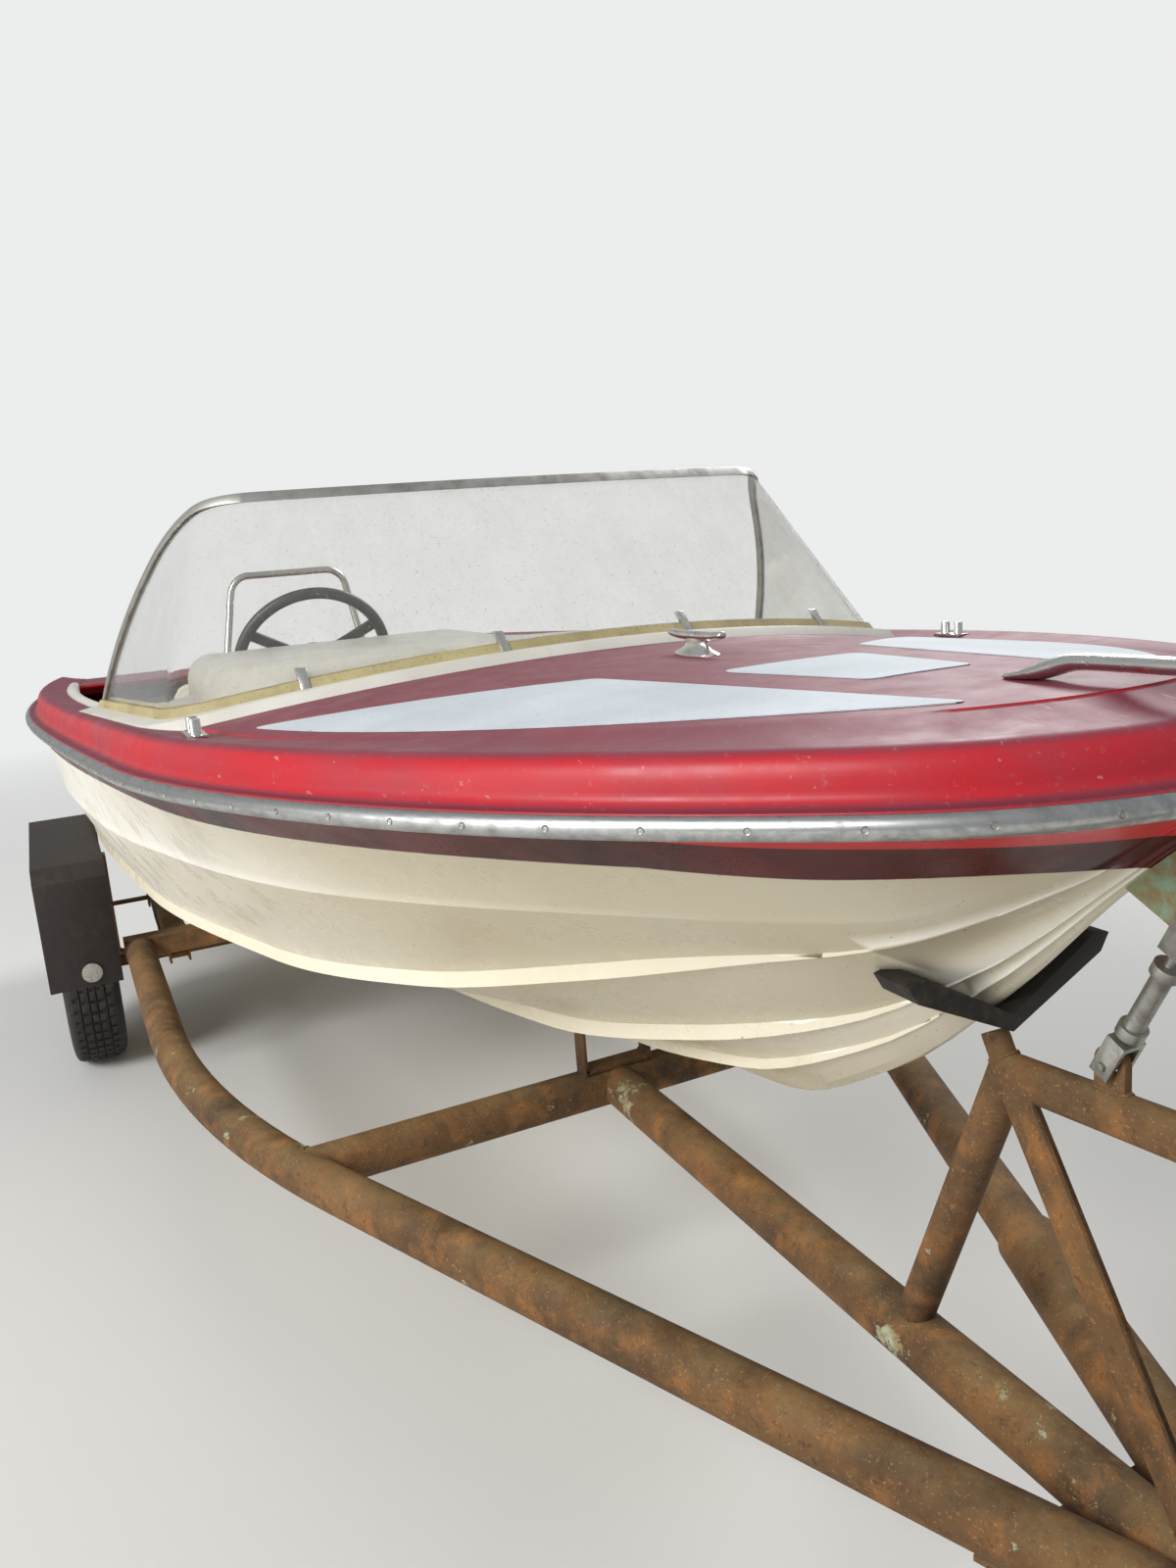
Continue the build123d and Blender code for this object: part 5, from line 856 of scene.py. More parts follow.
# %% [markdown]
# ## Deck skin
#
# The foredeck is one moulding: a rolled gunwale that follows the plan outline, and a crowned panel
# that rises out of it. Where they meet runs the crease that gives the deck its look.
# Both are drawn as chains again. At each place along the outline the chain starts at the lip,
# goes over the roll, and carries on across the panel to the middle of the boat. The chain finds
# for itself where panel and roll meet, and puts a small moulded step there.
# The step catches a line of light, so an attribute marks it, and the paint lays a painted highlight of
# brighter red there.

# %% Lines of the deck
CREASE_IN = 0.130
CREASE_STEP = 0.005
FOREDECK_END = 1.95
CROWN_RADIUS = 4.2
CROWN_Z = 1.278
CROWN_FALL = math.radians(0.86)
PANEL_COLUMNS = 16
PANEL_POLE = 0.45
# The roll from the lip to its top, as (inset, height) in mm
ROLL = [
    (0.2, 9.5), (0.3, 11.6), (0.9, 12.2), (5, 12.3), (9, 12.2), (12.6, 12.7), (16, 14.0), (19.1, 16.4),
    (21.5, 19.5), (22.9, 23.0), (23.5, 27.0), (24.2, 31.5), (25.0, 36.0), (26.3, 41.5), (28.3, 46.8),
    (31.2, 51.7), (35.0, 55.7), (39.8, 58.6), (45.5, 60.2), (52, 60.1),
]


def deck_place(arc, heading, inset, up):
    """A place so far inboard of the rail line and so far above the sheer plane."""
    reach = arc[2] - inset
    forward = -(arc[0] - reach * math.sin(heading))
    return Vector((BOW_X + forward * math.cos(SHEER_FALL) - up * math.sin(SHEER_FALL),
                   arc[1] + reach * math.cos(heading),
                   SHEER_Z + forward * math.sin(SHEER_FALL) + up * math.cos(SHEER_FALL)))


def crown_z(x, y=0):
    """Height of the crowned panel."""
    sag = CROWN_RADIUS - math.sqrt(CROWN_RADIUS**2 - y**2)
    return CROWN_Z - (BOW_X - x) * math.tan(CROWN_FALL) - sag


def roll_top(inset):
    """Height of the roll's flat top along the side decks."""
    return 0.060 - (inset - 0.046) * 0.016 / 0.084


def deck_chain(arc, heading):
    """Places from the lip to the middle of the deck, and how much painted highlight each gets at the crease.
    """
    places = [(deck_place(arc, heading, i / 1000, u / 1000), 0.0) for i, u in ROLL]
    shoulder = places[-1][0]
    foot = deck_place(arc, heading, CREASE_IN, roll_top(CREASE_IN))
    on_foredeck = BOW_X - foot.x < FOREDECK_END
    worth = 1.0
    if on_foredeck:
        # The step dies out towards the bow
        worth = min(1, max(0.03, (BOW_X - foot.x - 0.6) / 0.9))
        foot.z = crown_z(foot.x, foot.y) - CREASE_STEP * worth
    for share in (0.15, 0.35, 0.55, 0.75, 0.9):
        place = shoulder.lerp(foot, share)
        place.z -= 0.002 * math.sin(math.pi * share)
        places.append((place, 0.0))
    # The crease amounts on these points set the strength of the painted highlight along the step
    places.append((foot, 0.3 * worth))
    for further, rise in ((0.0015, 0.4), (0.003, 0.8), (0.006, 1.0)):
        place = deck_place(arc, heading, CREASE_IN + further * (1 if on_foredeck else 0.05), 0)
        place.z = foot.z + (crown_z(place.x, place.y) - foot.z) * rise if on_foredeck else foot.z
        places.append((place, worth * 0.8 if rise < 1 else 0.0))
    edge = places[-1][0]
    pole = Vector((min(edge.x, BOW_X - PANEL_POLE), 0, 0))
    for column in range(1, PANEL_COLUMNS + 1):
        place = edge.lerp(pole, column / PANEL_COLUMNS)
        place.z = crown_z(place.x, place.y)
        places.append((place, 0.0))
    return places


# %% Deck skin
ROW_SPACING = 0.022
SKIN_OVER = 0.0012

rows = []
for arc in RAIL_ARCS:
    steps = max(8, round(arc[2] * (arc[3] - arc[4]) / ROW_SPACING))
    for step in range(1 if rows else 0, steps + 1):
        rows.append(deck_chain(arc, arc[3] + (arc[4] - arc[3]) * step / steps))
run = bmesh.new()
# The crease layer carries the strength of the painted highlight
mark = run.verts.layers.float.new("crease")
for verts, row in zip(lofted(run, [[place for place, _ in row] for row in rows]), rows):
    for vert, (_, amount) in zip(verts, row):
        vert[mark] = amount
bmesh.ops.mirror(run, geom=run.verts[:] + run.edges[:] + run.faces[:], merge_dist=0.0001, axis="Y")
bmesh.ops.remove_doubles(run, verts=run.verts, dist=0.0001)
bmesh.ops.recalc_face_normals(run, faces=run.faces)
if max(run.faces, key=lambda f: f.calc_center_median().z).normal.z < 0:
    bmesh.ops.reverse_faces(run, faces=run.faces)
deck_bm = merged("deck")
cover = BVHTree.FromBMesh(deck_bm)
away = [f for f in run.faces if cover.find_nearest(f.calc_center_median(), 0.017)[0] is None]
bmesh.ops.delete(run, geom=away, context="FACES")

# What is left of the solid shows at the stern and underneath, a hair below the skin
cover = BVHTree.FromBMesh(run)
under = []
for face in deck_bm.faces:
    centre = face.calc_center_median()
    hit, normal, _, _ = cover.find_nearest(centre, 0.03)
    if hit is not None and normal.dot(centre - hit) > -0.003 and normal.dot(face.normal) > -0.3:
        under.append(face)
bmesh.ops.delete(deck_bm, geom=under, context="FACES")
bmesh.ops.translate(deck_bm, verts=deck_bm.verts, vec=(0, 0, -SKIN_OVER))
deck_bm.verts.layers.float.new("crease")
deck_bm.from_mesh(poured(run, "deck_run"))
deck = finished("deck_skin", deck_bm, "deck_gelcoat", "outfit", ["deck"], angle=math.radians(50))
print("deck skin: faces", len(deck.data.polygons), "left out:", len(away))

# %% [markdown]
# ## Rods, beads and threads
#
# Many small forms are a round section carried along a line: a grab handle, a weld bead, the piping
# of a seat. One helper draws them all. It lays an ellipse at every point of the line, turned as
# little as possible from one to the next, and bridges each to its neighbour.

# %% Sections carried along a line and round an axis
def line_frames(points, closed=False):
    """At each point of a line a heading and a sideways direction that turns as little as possible."""
    count = len(points)
    headings = []
    for i in range(count):
        before = points[i - 1] if i or closed else points[0]
        after = points[(i + 1) % count] if i < count - 1 or closed else points[-1]
        headings.append((after - before).normalized())
    side = headings[0].orthogonal().normalized()
    frames = []
    for heading in headings:
        side = (side - heading * side.dot(heading)).normalized()
        frames.append((heading, side))
    return frames


def rod(bm, points, sizes, segments, side=None, closed=False, capped=(0, -1)):
    """Carry an ellipse along a line. Sizes are its half width, measured to the side, and thickness."""
    rings = []
    for point, (width, thick), (heading, across) in zip(points, sizes, line_frames(points, closed)):
        if side is not None:
            across = (Vector(side) - heading * heading.dot(Vector(side))).normalized()
        turn = Matrix((across, heading.cross(across), heading)).transposed().to_4x4()
        place = Matrix.Translation(point) @ turn @ Matrix.Diagonal((width, thick, 1, 1))
        made = bmesh.ops.create_circle(bm, cap_ends=False, segments=segments, radius=1, matrix=place)
        rings.append(list(dict.fromkeys(e for v in made["verts"] for e in v.link_edges)))
    for first, second in zip(rings, rings[1:] + rings[:1] if closed else rings[1:]):
        bmesh.ops.bridge_loops(bm, edges=first + second)
    for end in () if closed else capped:
        bmesh.ops.holes_fill(bm, edges=rings[end], sides=segments)


def turned(bm, places, centre, axis, steps):
    """Turn a section all the way round an axis."""
    edges = chain(bm, places)
    bmesh.ops.spin(bm, geom=edges + chain_verts(edges), cent=centre, axis=axis, angle=2 * math.pi,
                   steps=steps, use_merge=True)
    bmesh.ops.recalc_face_normals(bm, faces=bm.faces)


def resampled(points, spacing, closed=False):
    """The same line with points at an even spacing."""
    line = list(points) + ([points[0]] if closed else [])
    lengths = [(b - a).length for a, b in zip(line, line[1:])]
    total = sum(lengths)
    count = max(3, round(total / spacing))
    result = []
    walked, leg = 0.0, 0
    for i in range(count if closed else count + 1):
        target = total * i / count
        while leg < len(lengths) - 1 and walked + lengths[leg] < target:
            walked += lengths[leg]
            leg += 1
        share = (target - walked) / lengths[leg] if lengths[leg] else 0
        result.append(line[leg].lerp(line[leg + 1], min(share, 1)))
    return result


# %% [markdown]
# ### Weld beads
#
# The trailer was welded by hand from tube, so every joint carries a bead, laid in overlapping
# drops. The joints need no list: a bead runs where an edge of one part lies against another part,
# and where one part has an inside corner. The drops are the bead's radius, swelling and
# shrinking every few millimetres.

# %% Weld beads
STEEL = ["front_cross_tube", "centre_tube", "port_tube", "starboard_tube", "rear_frame", "bow_stand",
         "winch_post", "spring_hangers", "bunk_posts", "roller_brackets", "guard_brackets", "coupling"]
BEAD = 0.0030
DROP = 0.0030
TOUCHING = 0.0015
SHORTEST_BEAD = 0.03
WELDED_OVER = math.radians(24)


def walk_chains(edges):
    """Order loose edges into lines of points: (points, closed)."""
    # Keys of a dictionary keep their order, so each run of this file lays the same beads
    left = dict.fromkeys(edges)
    chains = []
    while left:
        first = next(iter(left))
        left.pop(first)
        line = [first.verts[0], first.verts[1]]
        for end in (-1, 0):
            while True:
                tip = line[end]
                following = [e for e in tip.link_edges if e in left]
                if len(following) != 1:
                    break
                left.pop(following[0])
                onward = following[0].other_vert(tip)
                line.insert(len(line) if end == -1 else 0, onward)
        closed = line[0] is line[-1] and len(line) > 3
        chains.append(([v.co.copy() for v in (line[:-1] if closed else line)], closed))
    return chains


def welded_edges(bm, others):
    """Edges in an inside corner, and edges that lie against another part."""
    found = []
    for edge in bm.edges:
        if not edge.is_manifold or edge.calc_face_angle(0) < WELDED_OVER:
            continue
        inside_corner = edge.calc_face_angle_signed(0) < 0
        against = any(all(tree.find_nearest(v.co, TOUCHING)[0] is not None for v in edge.verts)
                      for tree in others)
        if inside_corner or against:
            found.append(edge)
    return found


beads = bmesh.new()
parts = {node: merged(node) for node in STEEL}
trees = {node: BVHTree.FromBMesh(bm) for node, bm in parts.items()}
runs = 0
for node, bm in parts.items():
    low = [min(v.co[k] for v in bm.verts) - 0.01 for k in range(3)]
    high = [max(v.co[k] for v in bm.verts) + 0.01 for k in range(3)]
    others = [trees[other] for other in STEEL if other != node
              and any(all(low[k] < v.co[k] < high[k] for k in range(3)) for v in parts[other].verts)]
    for points, closed in walk_chains(welded_edges(bm, others)):
        if sum((b - a).length for a, b in zip(points, points[1:])) < SHORTEST_BEAD:
            continue
        even = resampled(points, DROP, closed)
        swell = [1 + 0.22 * (1 if i % 2 else -1) + 0.12 * math.sin(i * 1.7) for i in range(len(even))]
        rod(beads, even, [(BEAD * s, BEAD * s) for s in swell], 6, closed=closed)
        runs += 1
for bm in parts.values():
    bm.free()
weld_beads = finished("weld_beads", beads, "rusty_steel", material=RUSTY_STEEL, angle=math.radians(70))
print("weld beads:", runs, "runs, faces", len(weld_beads.data.polygons))

# %% [markdown]
# ### Rub rail screws, handle and small fittings
#
# The rub rail is held by a countersunk screw every 95 mm. Each head is a short cone whose top is
# inset and sunk, which reads as the recess for the driver. The bow handle is a casting with a long
# feathered foot, so its section changes all the way: wide and thin on the deck, oval in the bar.

# %% Rail screws
SCREW_PITCH = 0.095
SCREW_RADIUS = 0.0036
SCREW_SIDES = 14

screws = bmesh.new()
walked = 0.05
for arc in RAIL_ARCS:
    length = arc[2] * (arc[3] - arc[4])
    while walked < length:
        heading = arc[3] - walked / arc[2]
        for mirror in (1, -1):
            place, inward = (deck_place(arc, heading, inset, 0) for inset in (-0.0108, 0.02))
            place.y *= mirror
            inward.y *= mirror
            outward = (place - inward).normalized()
            turn = outward.to_track_quat("Z", "Y").to_matrix().to_4x4()
            made = bmesh.ops.create_cone(screws, cap_ends=True, segments=SCREW_SIDES, radius1=SCREW_RADIUS,
                                         radius2=SCREW_RADIUS * 0.92, depth=0.0012,
                                         matrix=Matrix.Translation(place) @ turn)["verts"]
            caps = [f for v in made for f in v.link_faces if len(f.verts) == SCREW_SIDES]
            cap = max(caps, key=lambda f: f.calc_center_median().dot(outward))
            bmesh.ops.inset_region(screws, faces=[cap], thickness=SCREW_RADIUS * 0.45)
            bmesh.ops.translate(screws, verts=cap.verts[:], vec=outward * -0.0009)
        walked += SCREW_PITCH
    walked -= length
rail_screws = finished("rail_screws", screws, "zinc_steel")
print("rail screws: faces", len(rail_screws.data.polygons))

# %% Bow handle
# Along the handle: (aft, height over the crown, half width, half thickness), in mm
HANDLE_SECTIONS = [
    (281, 1.6, 4, 1.6), (277, 2.6, 10, 3.0), (264, 4.0, 15.2, 4.6), (248, 6.5, 16.4, 6.6),
    (232, 10, 15.2, 8.6), (217, 14.4, 13.2, 9.2), (204, 18.0, 12.0, 8.8), (192, 20, 11.6, 8.4),
    (178, 20.6, 11.4, 8.2), (120, 20.8, 11.4, 8.2), (66, 20.4, 11.4, 8.2), (56, 18.6, 11.4, 8.4),
    (48, 13, 11.4, 8.8), (44, 5, 11.8, 9.2), (43, -1, 12.4, 9.6),
]
handle = bmesh.new()
middle = [Vector((BOW_X - aft / 1000, 0, crown_z(BOW_X - aft / 1000) + up / 1000))
          for aft, up, _, _ in HANDLE_SECTIONS]
sizes = [(width / 1000, thick / 1000) for _, _, width, thick in HANDLE_SECTIONS]
rod(handle, middle, sizes, 24, side=(0, 1, 0), capped=(0,))
bmesh.ops.recalc_face_normals(handle, faces=handle.faces)
bow_handle = finished("bow_handle_cast", handle, "deck_chrome", "outfit", ["bow_handle"],
                      angle=math.radians(60))
print("bow handle: faces", len(bow_handle.data.polygons))

# %% Mooring cleat
# A casting with flared horns. Its foot and waist as (height, half length, half width), and its
# horns as (distance from the middle, height, radius), in mm. The horns are wider than high.
CLEAT_BODY = [(0, 56, 21), (2.4, 56, 21), (4.6, 52, 18.5), (8, 40, 13), (13, 31, 9.4), (18, 28, 8.2),
              (23, 31, 8.4), (27, 37, 7.6)]
CLEAT_HORNS = [(-75, 31.6, 3.4), (-73.5, 31.4, 5.0), (-66, 30.2, 5.8), (-45, 28.4, 6.6), (-20, 28, 7.2),
               (0, 28, 7.4), (20, 28, 7.2), (45, 28.4, 6.6), (66, 30.2, 5.8), (73.5, 31.4, 5.0),
               (75, 31.6, 3.4)]
HORN_WIDER = 1.25
CLEAT_AT = Vector((BOW_X - 0.890, 0, crown_z(BOW_X - 0.890)))
cleat = bmesh.new()
middle = [CLEAT_AT + Vector((0, 0, up / 1000)) for up, _, _ in CLEAT_BODY]
sizes = [(length / 1000, width / 1000) for _, length, width in CLEAT_BODY]
rod(cleat, middle, sizes, 32, side=(1, 0, 0), capped=())
middle = [CLEAT_AT + Vector((along / 1000, 0, up / 1000)) for along, up, _ in CLEAT_HORNS]
rod(cleat, middle, [(r / 1000, HORN_WIDER * r / 1000) for _, _, r in CLEAT_HORNS], 16, side=(0, 0, 1))
bmesh.ops.recalc_face_normals(cleat, faces=cleat.faces)
mooring_cleat = finished("mooring_cleat", cleat, "deck_chrome", "outfit", ["deck_cleat"],
                         angle=math.radians(50))
print("cleat: faces", len(mooring_cleat.data.polygons))

# %% Foredeck pads with rounded corners
pads = merged("foredeck_pads")
corners = [e for e in pads.edges if e.is_manifold and e.calc_face_angle(0) > math.radians(25)
           and abs(e.verts[0].co.z - e.verts[1].co.z) > 0.8 * e.calc_length()]
rounded(pads, corners, 0.014, 5)
finished("foredeck_pads_skin", pads, "non_skid", "outfit", ["foredeck_pads"])
print("pads: corners rounded", len(corners))

# %% [markdown]
# ### Wheels
#
# A tyre is a turned shape: four grooves round the tread, a rounded shoulder, and a raised ring on
# the sidewall that guards the rim. The cross cuts between the blocks are made after turning:
# every third face of each rib is inset and sunk.
# The wheel's steel disc gets its five nuts, each with the end of its stud.

# %% Tyres and nuts
WHEEL_X = BOW_X - 3.16
WHEEL_Y = 0.885
WHEEL_Z = 0.288
TREAD_STEPS = 150
# Half of the tyre's section: (distance from the middle, radius), in mm, from the tread to the bead
TYRE_SECTION = [
    (0, 287.6), (6.5, 287.6), (7.4, 287.3), (8, 282.5), (12, 282.5), (12.6, 287.3), (13.4, 287.5),
    (31, 287), (31.9, 286.7), (32.6, 282), (37, 281.8), (37.6, 286.4), (38.4, 286.6), (54, 284.6),
    (60, 282.4), (65.5, 278), (69.5, 271), (72.5, 262), (74.6, 250), (75.8, 238), (76.4, 229), (75.8, 220),
    (74.6, 212), (73.4, 209), (72.2, 206), (69, 197), (65, 189), (61, 183), (58.5, 179), (57.4, 176.6),
]
# The ribs' faces that carry blocks, as distances from the middle, and the radius they are over
RIBS = [(0, 0.0065), (0.0134, 0.031), (0.0384, 0.054)]
TREAD_OVER = 0.283
CUT_IN, CUT_DEEP = 0.0016, 0.0035
HUB_NUTS = 5
NUT_CIRCLE = 0.056
# Nut and stud: (distance out from the disc, sides, radius, radius at the tip, height)
NUT_AND_STUD = [(0.0065, 6, 0.0105, 0.0105, 0.014), (0.014, 12, 0.006, 0.0052, 0.012)]

for side, body in ((1, "port_wheel"), (-1, "starboard_wheel")):
    name = body.split("_")[0]
    centre = Vector((WHEEL_X, side * WHEEL_Y, WHEEL_Z))
    tyre = bmesh.new()
    section = [(-w, r) for w, r in reversed(TYRE_SECTION[1:])] + TYRE_SECTION
    section = [centre + Vector((0, w / 1000, r / 1000)) for w, r in section]
    turned(tyre, section, centre, (0, 1, 0), TREAD_STEPS)
    blocks = []
    for face in tyre.faces:
        middle = face.calc_center_median() - centre
        turn = math.atan2(middle.x, middle.z) / (2 * math.pi) * TREAD_STEPS
        offset = 1 if abs(middle.y) > RIBS[2][0] else 0
        on_rib = any(low <= abs(middle.y) < high for low, high in RIBS)
        if on_rib and math.hypot(middle.x, middle.z) > TREAD_OVER and (round(turn - 0.5) + offset) % 3 == 0:
            blocks.append(face)
    bmesh.ops.inset_individual(tyre, faces=blocks, thickness=CUT_IN)
    for face in blocks:
        bmesh.ops.translate(tyre, verts=face.verts[:], vec=face.normal * -CUT_DEEP)
    finished(name + "_tyre_tread", tyre, "tyre_rubber", body, [name + "_tyre"], angle=math.radians(40))

    hub = bmesh.new()
    rim = merged(name + "_rim")
    disc = BVHTree.FromBMesh(rim)
    rim.free()
    for k in range(HUB_NUTS):
        turn = 2 * math.pi * k / HUB_NUTS + 0.3
        start = centre + Vector((NUT_CIRCLE * math.sin(turn), side * 0.2, NUT_CIRCLE * math.cos(turn)))
        hit = disc.ray_cast(start, Vector((0, -side, 0)))[0]
        if hit is None:
            continue
        for out, sides, radius, tip, height in NUT_AND_STUD:
            place = Matrix.Translation(hit + Vector((0, side * out, 0)))
            place = place @ Matrix.Rotation(math.radians(-90 * side), 4, "X")
            bmesh.ops.create_cone(hub, cap_ends=True, segments=sides, radius1=radius, radius2=tip,
                                  depth=height, matrix=place)
    soften(hub, 0.0008, 1, math.radians(35))
    finished(name + "_wheel_nuts", hub, "rim_paint", body, material=RUSTY_STEEL)
    print(name, "tyre: blocks cut", len(blocks))

# %% [markdown]
# ### Helm
#
# The boss behind the steering wheel hides the end of its column. It is a shallow cup that turns
# with the wheel and keeps clear of the column all round.

# %% Steering boss
COLUMN_AXIS = Vector((-math.cos(math.radians(25)), 0, math.sin(math.radians(25))))
HELM = Vector((BOW_X - 1.935, -0.340, 1.234))
# The cup's section: (distance behind the wheel's middle, radius), in mm
BOSS = [(8, 22), (14, 33), (22, 34.5), (46, 30), (50, 28.5), (50, 25.5), (46, 25), (24, 25)]
boss = bmesh.new()
section = [HELM - COLUMN_AXIS * (d / 1000) + Vector((0, r / 1000, 0)) for d, r in BOSS]
turned(boss, section, HELM, COLUMN_AXIS, 40)
finished("steering_boss", boss, "black_plastic", "helm_wheel", angle=math.radians(40))
print("fittings done")

# %% [markdown]
# ## Seats
#
# A runabout of this kind seats four back to back: two backrests on one box, each with a cushion
# before and behind it. The pads are foam in a sewn vinyl cover. The cover is cut a little smaller
# than the foam, so the foam swells it to a crown and the sides pull in between the corners.
# That is simulated: a slightly smaller pad, remeshed evenly, is blown up as cloth.
# The port pads are simulated and mirrored, because both sides were made on the same pattern.

# %% Pads as inflated cloth
VOXEL = 0.006
SHRINK = 0.007
FRAMES = 20
MOVE_CAP = 0.014
RIM_RADIUS = 0.014
CLOTH = {
    "quality": 5, "mass": 0.3, "tension_stiffness": 12, "compression_stiffness": 12, "bending_stiffness": 0.4,
    "use_pressure": True, "uniform_pressure_force": 4.0,
}


def evaluated_mesh(piece):
    """The object's mesh as its modifiers leave it."""
    graph = bpy.context.evaluated_depsgraph_get()
    return bpy.data.meshes.new_from_object(piece.evaluated_get(graph))


def pad_blank(low, high, corner):
    """A box with rounded corners and softened rims."""
    size = high - low
    bm = bmesh.new()
    place = Matrix.Translation((low + high) / 2) @ Matrix.Diagonal((*size, 1))
    bmesh.ops.create_cube(bm, size=1, matrix=place)
    thin = min(range(3), key=lambda k: size[k])
    through = [e for e in bm.edges if abs((e.verts[0].co - e.verts[1].co)[thin]) > 0.5 * size[thin]]
    bmesh.ops.bevel(bm, geom=through, offset=corner, segments=6, profile=0.5, material=-1, affect="EDGES")
    rims = [e for e in bm.edges if e.calc_face_angle(0) > math.radians(60)]
    bmesh.ops.bevel(bm, geom=rims, offset=RIM_RADIUS, segments=3, profile=0.5, material=-1, affect="EDGES")
    return bm


def inflated(name, blank):
    """The pad blown up as cloth, with each point's way held to the cap."""
    pad = stood(name, poured(blank, name))
    grid = pad.modifiers.new("Grid", "REMESH")
    grid.mode = "VOXEL"
    grid.voxel_size = VOXEL
    even = evaluated_mesh(pad)
    pad.modifiers.clear()
    pad.data = even
    start = [v.co.copy() for v in even.vertices]
    cloth = pad.modifiers.new("Cloth", "CLOTH")
    for setting, value in CLOTH.items():
        setattr(cloth.settings, setting, value)
    cloth.settings.effector_weights.gravity = 0
    cloth.point_cache.frame_end = FRAMES
    for at in range(1, FRAMES + 1):
        scene.frame_set(at)
    blown = [v.co.copy() for v in evaluated_mesh(pad).vertices]
    scene.frame_set(1)
    pad.modifiers.clear()
    furthest = 0
    for vert, was, now in zip(even.vertices, start, blown):
        way = now - was
        furthest = max(furthest, way.length)
        if way.length > MOVE_CAP:
            way = way.normalized() * MOVE_CAP
        vert.co = was + way
    print(name, "swelled by up to", round(furthest * 1000, 1), "mm")
    result = bmesh.new()
    result.from_mesh(even)
    bpy.data.objects.remove(pad)
    bmesh.ops.smooth_vert(result, verts=result.verts, factor=0.5, use_axis_x=True, use_axis_y=True,
                          use_axis_z=True)
    return result


# %% [markdown]
# The channels are sewn after the pad is blown up. Each is a valley pressed into the seat face,
# as deep as the thread pulls the cover into the foam. The piping is a cord sewn into the seam
# round the rim, and it follows the swollen surface.

# %% Channels and piping
CHANNEL_PITCH = 0.094
CHANNEL_DEPTH = 0.0075
CHANNEL_WIDTH = 0.008
MARGIN = 0.045
PIPING = 0.0042
PIPING_SPACING = 0.012
# Where a face turns away from the channels' direction they fade out
FACING_LEAST = 0.3


def sew_channels(bm, low, high, faced):
    """Press valleys into the faces that look along the faced direction."""
    middle = (low[1] + high[1]) / 2
    count = int((high[1] - low[1]) / 2 / CHANNEL_PITCH)
    lines = [middle + CHANNEL_PITCH * k for k in range(-count, count + 1)]
    along = 0 if abs(faced.z) > 0.5 else 2
    bm.normal_update()
    for vert in bm.verts:
        facing = vert.normal.dot(faced)
        if facing < FACING_LEAST:
            continue
        apart = min(abs(vert.co.y - line) for line in lines)
        inside = min(vert.co[along] - low[along], high[along] - vert.co[along])
        fade = min(1, max(0, (inside - MARGIN * 0.4) / MARGIN)) * min(1, (facing - FACING_LEAST) / 0.4)
        vert.co -= faced * CHANNEL_DEPTH * fade * math.exp(-((apart / CHANNEL_WIDTH) ** 2))


def rim_piping(bm, low, high, corner, thin, level):
    """A cord round the pad at a level of its thin axis, laid on the surface."""
    surface = BVHTree.FromBMesh(bm)
    first, second = [k for k in range(3) if k != thin]
    far_u, far_v = high[first] - corner, high[second] - corner
    near_u, near_v = low[first] + corner, low[second] + corner
    outline = []
    for quarter, (u, v) in enumerate(((far_u, far_v), (near_u, far_v), (near_u, near_v), (far_u, near_v))):
        for k in range(9):
            turn = math.pi / 2 * (quarter + k / 8)
            place = Vector((0, 0, 0))
            place[first] = u + corner * math.cos(turn)
            place[second] = v + corner * math.sin(turn)
            place[thin] = level
            outline.append(place)
    laid = [surface.find_nearest(p)[0] for p in resampled(outline, PIPING_SPACING, closed=True)]
    cord = bmesh.new()
    rod(cord, laid, [(PIPING, PIPING)] * len(laid), 8, closed=True)
    bm.from_mesh(poured(cord, "piping"))


def sewn_pad(name, low, high, corner, thin, faces, levels):
    """A blown pad with channels in its faces and a cord at each level, sitting on its box."""
    inner_low = Vector(low) + Vector((SHRINK,) * 3)
    inner_high = Vector(high) - Vector((SHRINK,) * 3)
    pad = inflated(name, pad_blank(inner_low, inner_high, corner))
    for faced in faces:
        sew_channels(pad, low, high, Vector(faced))
    for level in levels:
        rim_piping(pad, inner_low, inner_high, corner, thin, level)
    for vert in pad.verts:
        vert.co.z = max(vert.co.z, low[2] + 0.0005)
    return pad


def mirrored_pair(bm):
    """The pad and its mirror image on the other side of the boat."""
    bmesh.ops.mirror(bm, geom=bm.verts[:] + bm.edges[:] + bm.faces[:], merge_dist=0.00001, axis="Y")
    bmesh.ops.recalc_face_normals(bm, faces=bm.faces)
    return bm


# %% Two cushions and the backrest of each side
# Low and high corner of each pad
CUSHIONS = [
    ((-1.350, 0.110, 0.880), (-0.922, 0.580, 0.960)),
    ((-0.810, 0.110, 0.880), (-0.382, 0.580, 0.960)),
]
BACKREST = ((-0.920, 0.110, 0.880), (-0.812, 0.580, 1.150))
X_AXIS, Z_AXIS = 0, 2

cushions = bmesh.new()
for number, (low, high) in enumerate(CUSHIONS):
    pad = sewn_pad("cushion_" + str(number), low, high, 0.040, Z_AXIS, [(0, 0, 1)], [high[2] - 0.016])
    cushions.from_mesh(poured(pad, "pad"))
cushion_pads = finished("seat_cushion_pads", mirrored_pair(cushions), "seat_vinyl", "outfit",
                        ["seat_cushions"], angle=math.radians(80))

low, high = BACKREST
levels = [low[0] + 0.022, high[0] - 0.022]
backs = sewn_pad("backrest", low, high, 0.050, X_AXIS, [(1, 0, 0), (-1, 0, 0)], levels)
back_pads = finished("seat_back_pads", mirrored_pair(backs), "seat_vinyl", "outfit",
                     ["seat_backs"], angle=math.radians(80))
print("pads: faces", len(cushion_pads.data.polygons), len(back_pads.data.polygons))

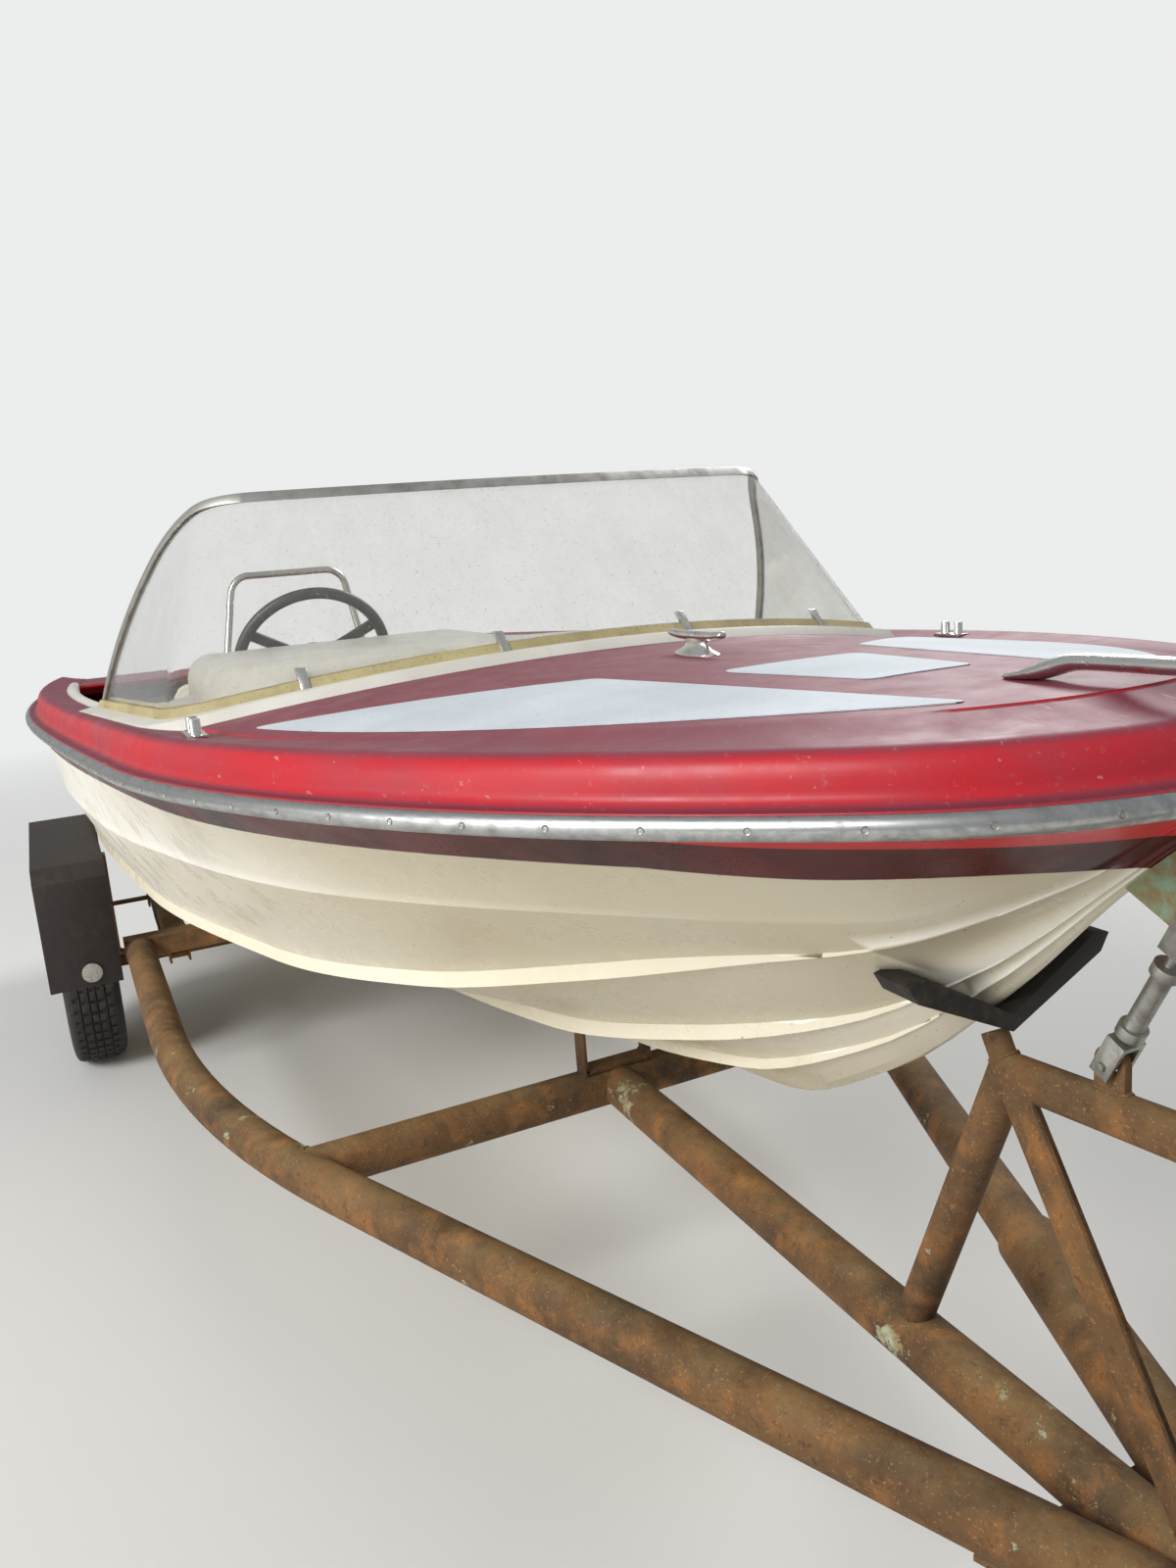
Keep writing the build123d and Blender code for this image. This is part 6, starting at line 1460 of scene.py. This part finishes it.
# %% [markdown]
# ## The studio
#
# The photograph is taken from just ahead of the starboard bow, with the camera a little above the
# deck. The place of the camera follows from three known sizes of the boat, measured in the picture.
# A large soft lamp from high on the left, a broad fill and a pale floor show the form without
# hard shadows. The world is white only for the camera and through the acrylic, so that the
# background is bright while the boat is lit at a plain level.

# %% Camera
CAMERA_PLACE = (2.45915, -0.874, 1.44)
CAMERA_RIGHT = (0.429, 0.900, -0.076)
CAMERA_UP = (-0.152, 0.155, 0.976)
LENS_MM = 26.775

camera_data = bpy.data.cameras.new("camera")
camera_data.lens = LENS_MM
camera_data.sensor_width = 36
camera_data.clip_start = 0.02
camera = stood("camera", camera_data)
right = Vector(CAMERA_RIGHT).normalized()
up = (Vector(CAMERA_UP) - right * right.dot(Vector(CAMERA_UP))).normalized()
turn = Matrix((right, up, right.cross(up))).transposed()
camera.matrix_world = Matrix.Translation(CAMERA_PLACE) @ turn.to_4x4()
scene.camera = camera
print("camera at", CAMERA_PLACE, "lens", LENS_MM)

# %% Floor, lamps and world
FLOOR_HALF = 400
BACKDROP = "#eceded"
# Far out the floor turns into the backdrop, so there is no horizon
BACKDROP_FROM, BACKDROP_FULL = 3.2, 9.0
# Columns: name, place, target, size in metres, power in watts
LAMPS = [
    ("key", (3.0, -6.5, 5.5), (0.2, 0, 0.9), 3.5, 560),
    ("fill", (0.5, -6.5, 2.2), (0.3, 0, 0.9), 4.0, 110),
    ("rim", (-3.5, 5.0, 5.5), (0, 0, 1.0), 3.0, 300),
]


def backdrop_for_the_eye(tree, plain, kind, output, cover=1.0):
    """The backdrop as the camera sees it, bare or through the acrylic, over a plain shader."""
    path = put(tree, "ShaderNodeLightPath").outputs
    watched = put(tree, "ShaderNodeMath", {0: path["Is Camera Ray"], 1: path["Is Transmission Ray"]},
                  operation="MAXIMUM").outputs[0]
    share = put(tree, "ShaderNodeMath", {0: cover, 1: watched}, operation="MULTIPLY").outputs[0]
    backdrop = put(tree, kind, {"Color": colour(BACKDROP), "Strength": 1.0}).outputs[0]
    both = put(tree, "ShaderNodeMixShader", {0: share, 1: plain, 2: backdrop}).outputs[0]
    tree.links.new(both, tree.nodes[output].inputs[0])


bm = bmesh.new()
bmesh.ops.create_grid(bm, x_segments=1, y_segments=1, size=FLOOR_HALF)
floor = stood("floor", poured(bm, "floor"))
paint, tree, shader, place = new_material("floor_pale", Base_Color=colour("#d6d5d2"), Roughness=0.9)
out = put(tree, "ShaderNodeVectorMath", {0: place}, operation="LENGTH").outputs["Value"]
beyond = put(tree, "ShaderNodeMapRange", {0: out, 1: BACKDROP_FROM, 2: BACKDROP_FULL}).outputs[0]
backdrop_for_the_eye(tree, shader.outputs[0], "ShaderNodeEmission", "Material Output", beyond)
floor.data.materials.append(paint)
floor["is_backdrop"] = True

for name, place, target, size, power in LAMPS:
    data = bpy.data.lights.new(name, "AREA")
    data.shape = "DISK"
    data.size = size
    data.energy = power
    lamp = stood(name, data)
    lamp.location = place
    lamp.rotation_euler = (Vector(target) - Vector(place)).to_track_quat("-Z", "Y").to_euler()

world = bpy.data.worlds.new("studio")
scene.world = world
world.use_nodes = True
background = world.node_tree.nodes["Background"]
background.inputs["Color"].default_value = colour("#e9edf0")
background.inputs["Strength"].default_value = 0.5
backdrop_for_the_eye(world.node_tree, background.outputs[0], "ShaderNodeBackground", "World Output")
scene.view_settings.view_transform = "Standard"
print("lamps:", len(LAMPS))

# %% Sizes before and after, and the last line
sizes = {
    "cad": [list(corner) for corner in CAD_BOX],
    "dressed": [list(corner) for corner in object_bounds()],
}
print("sizes:", sizes)
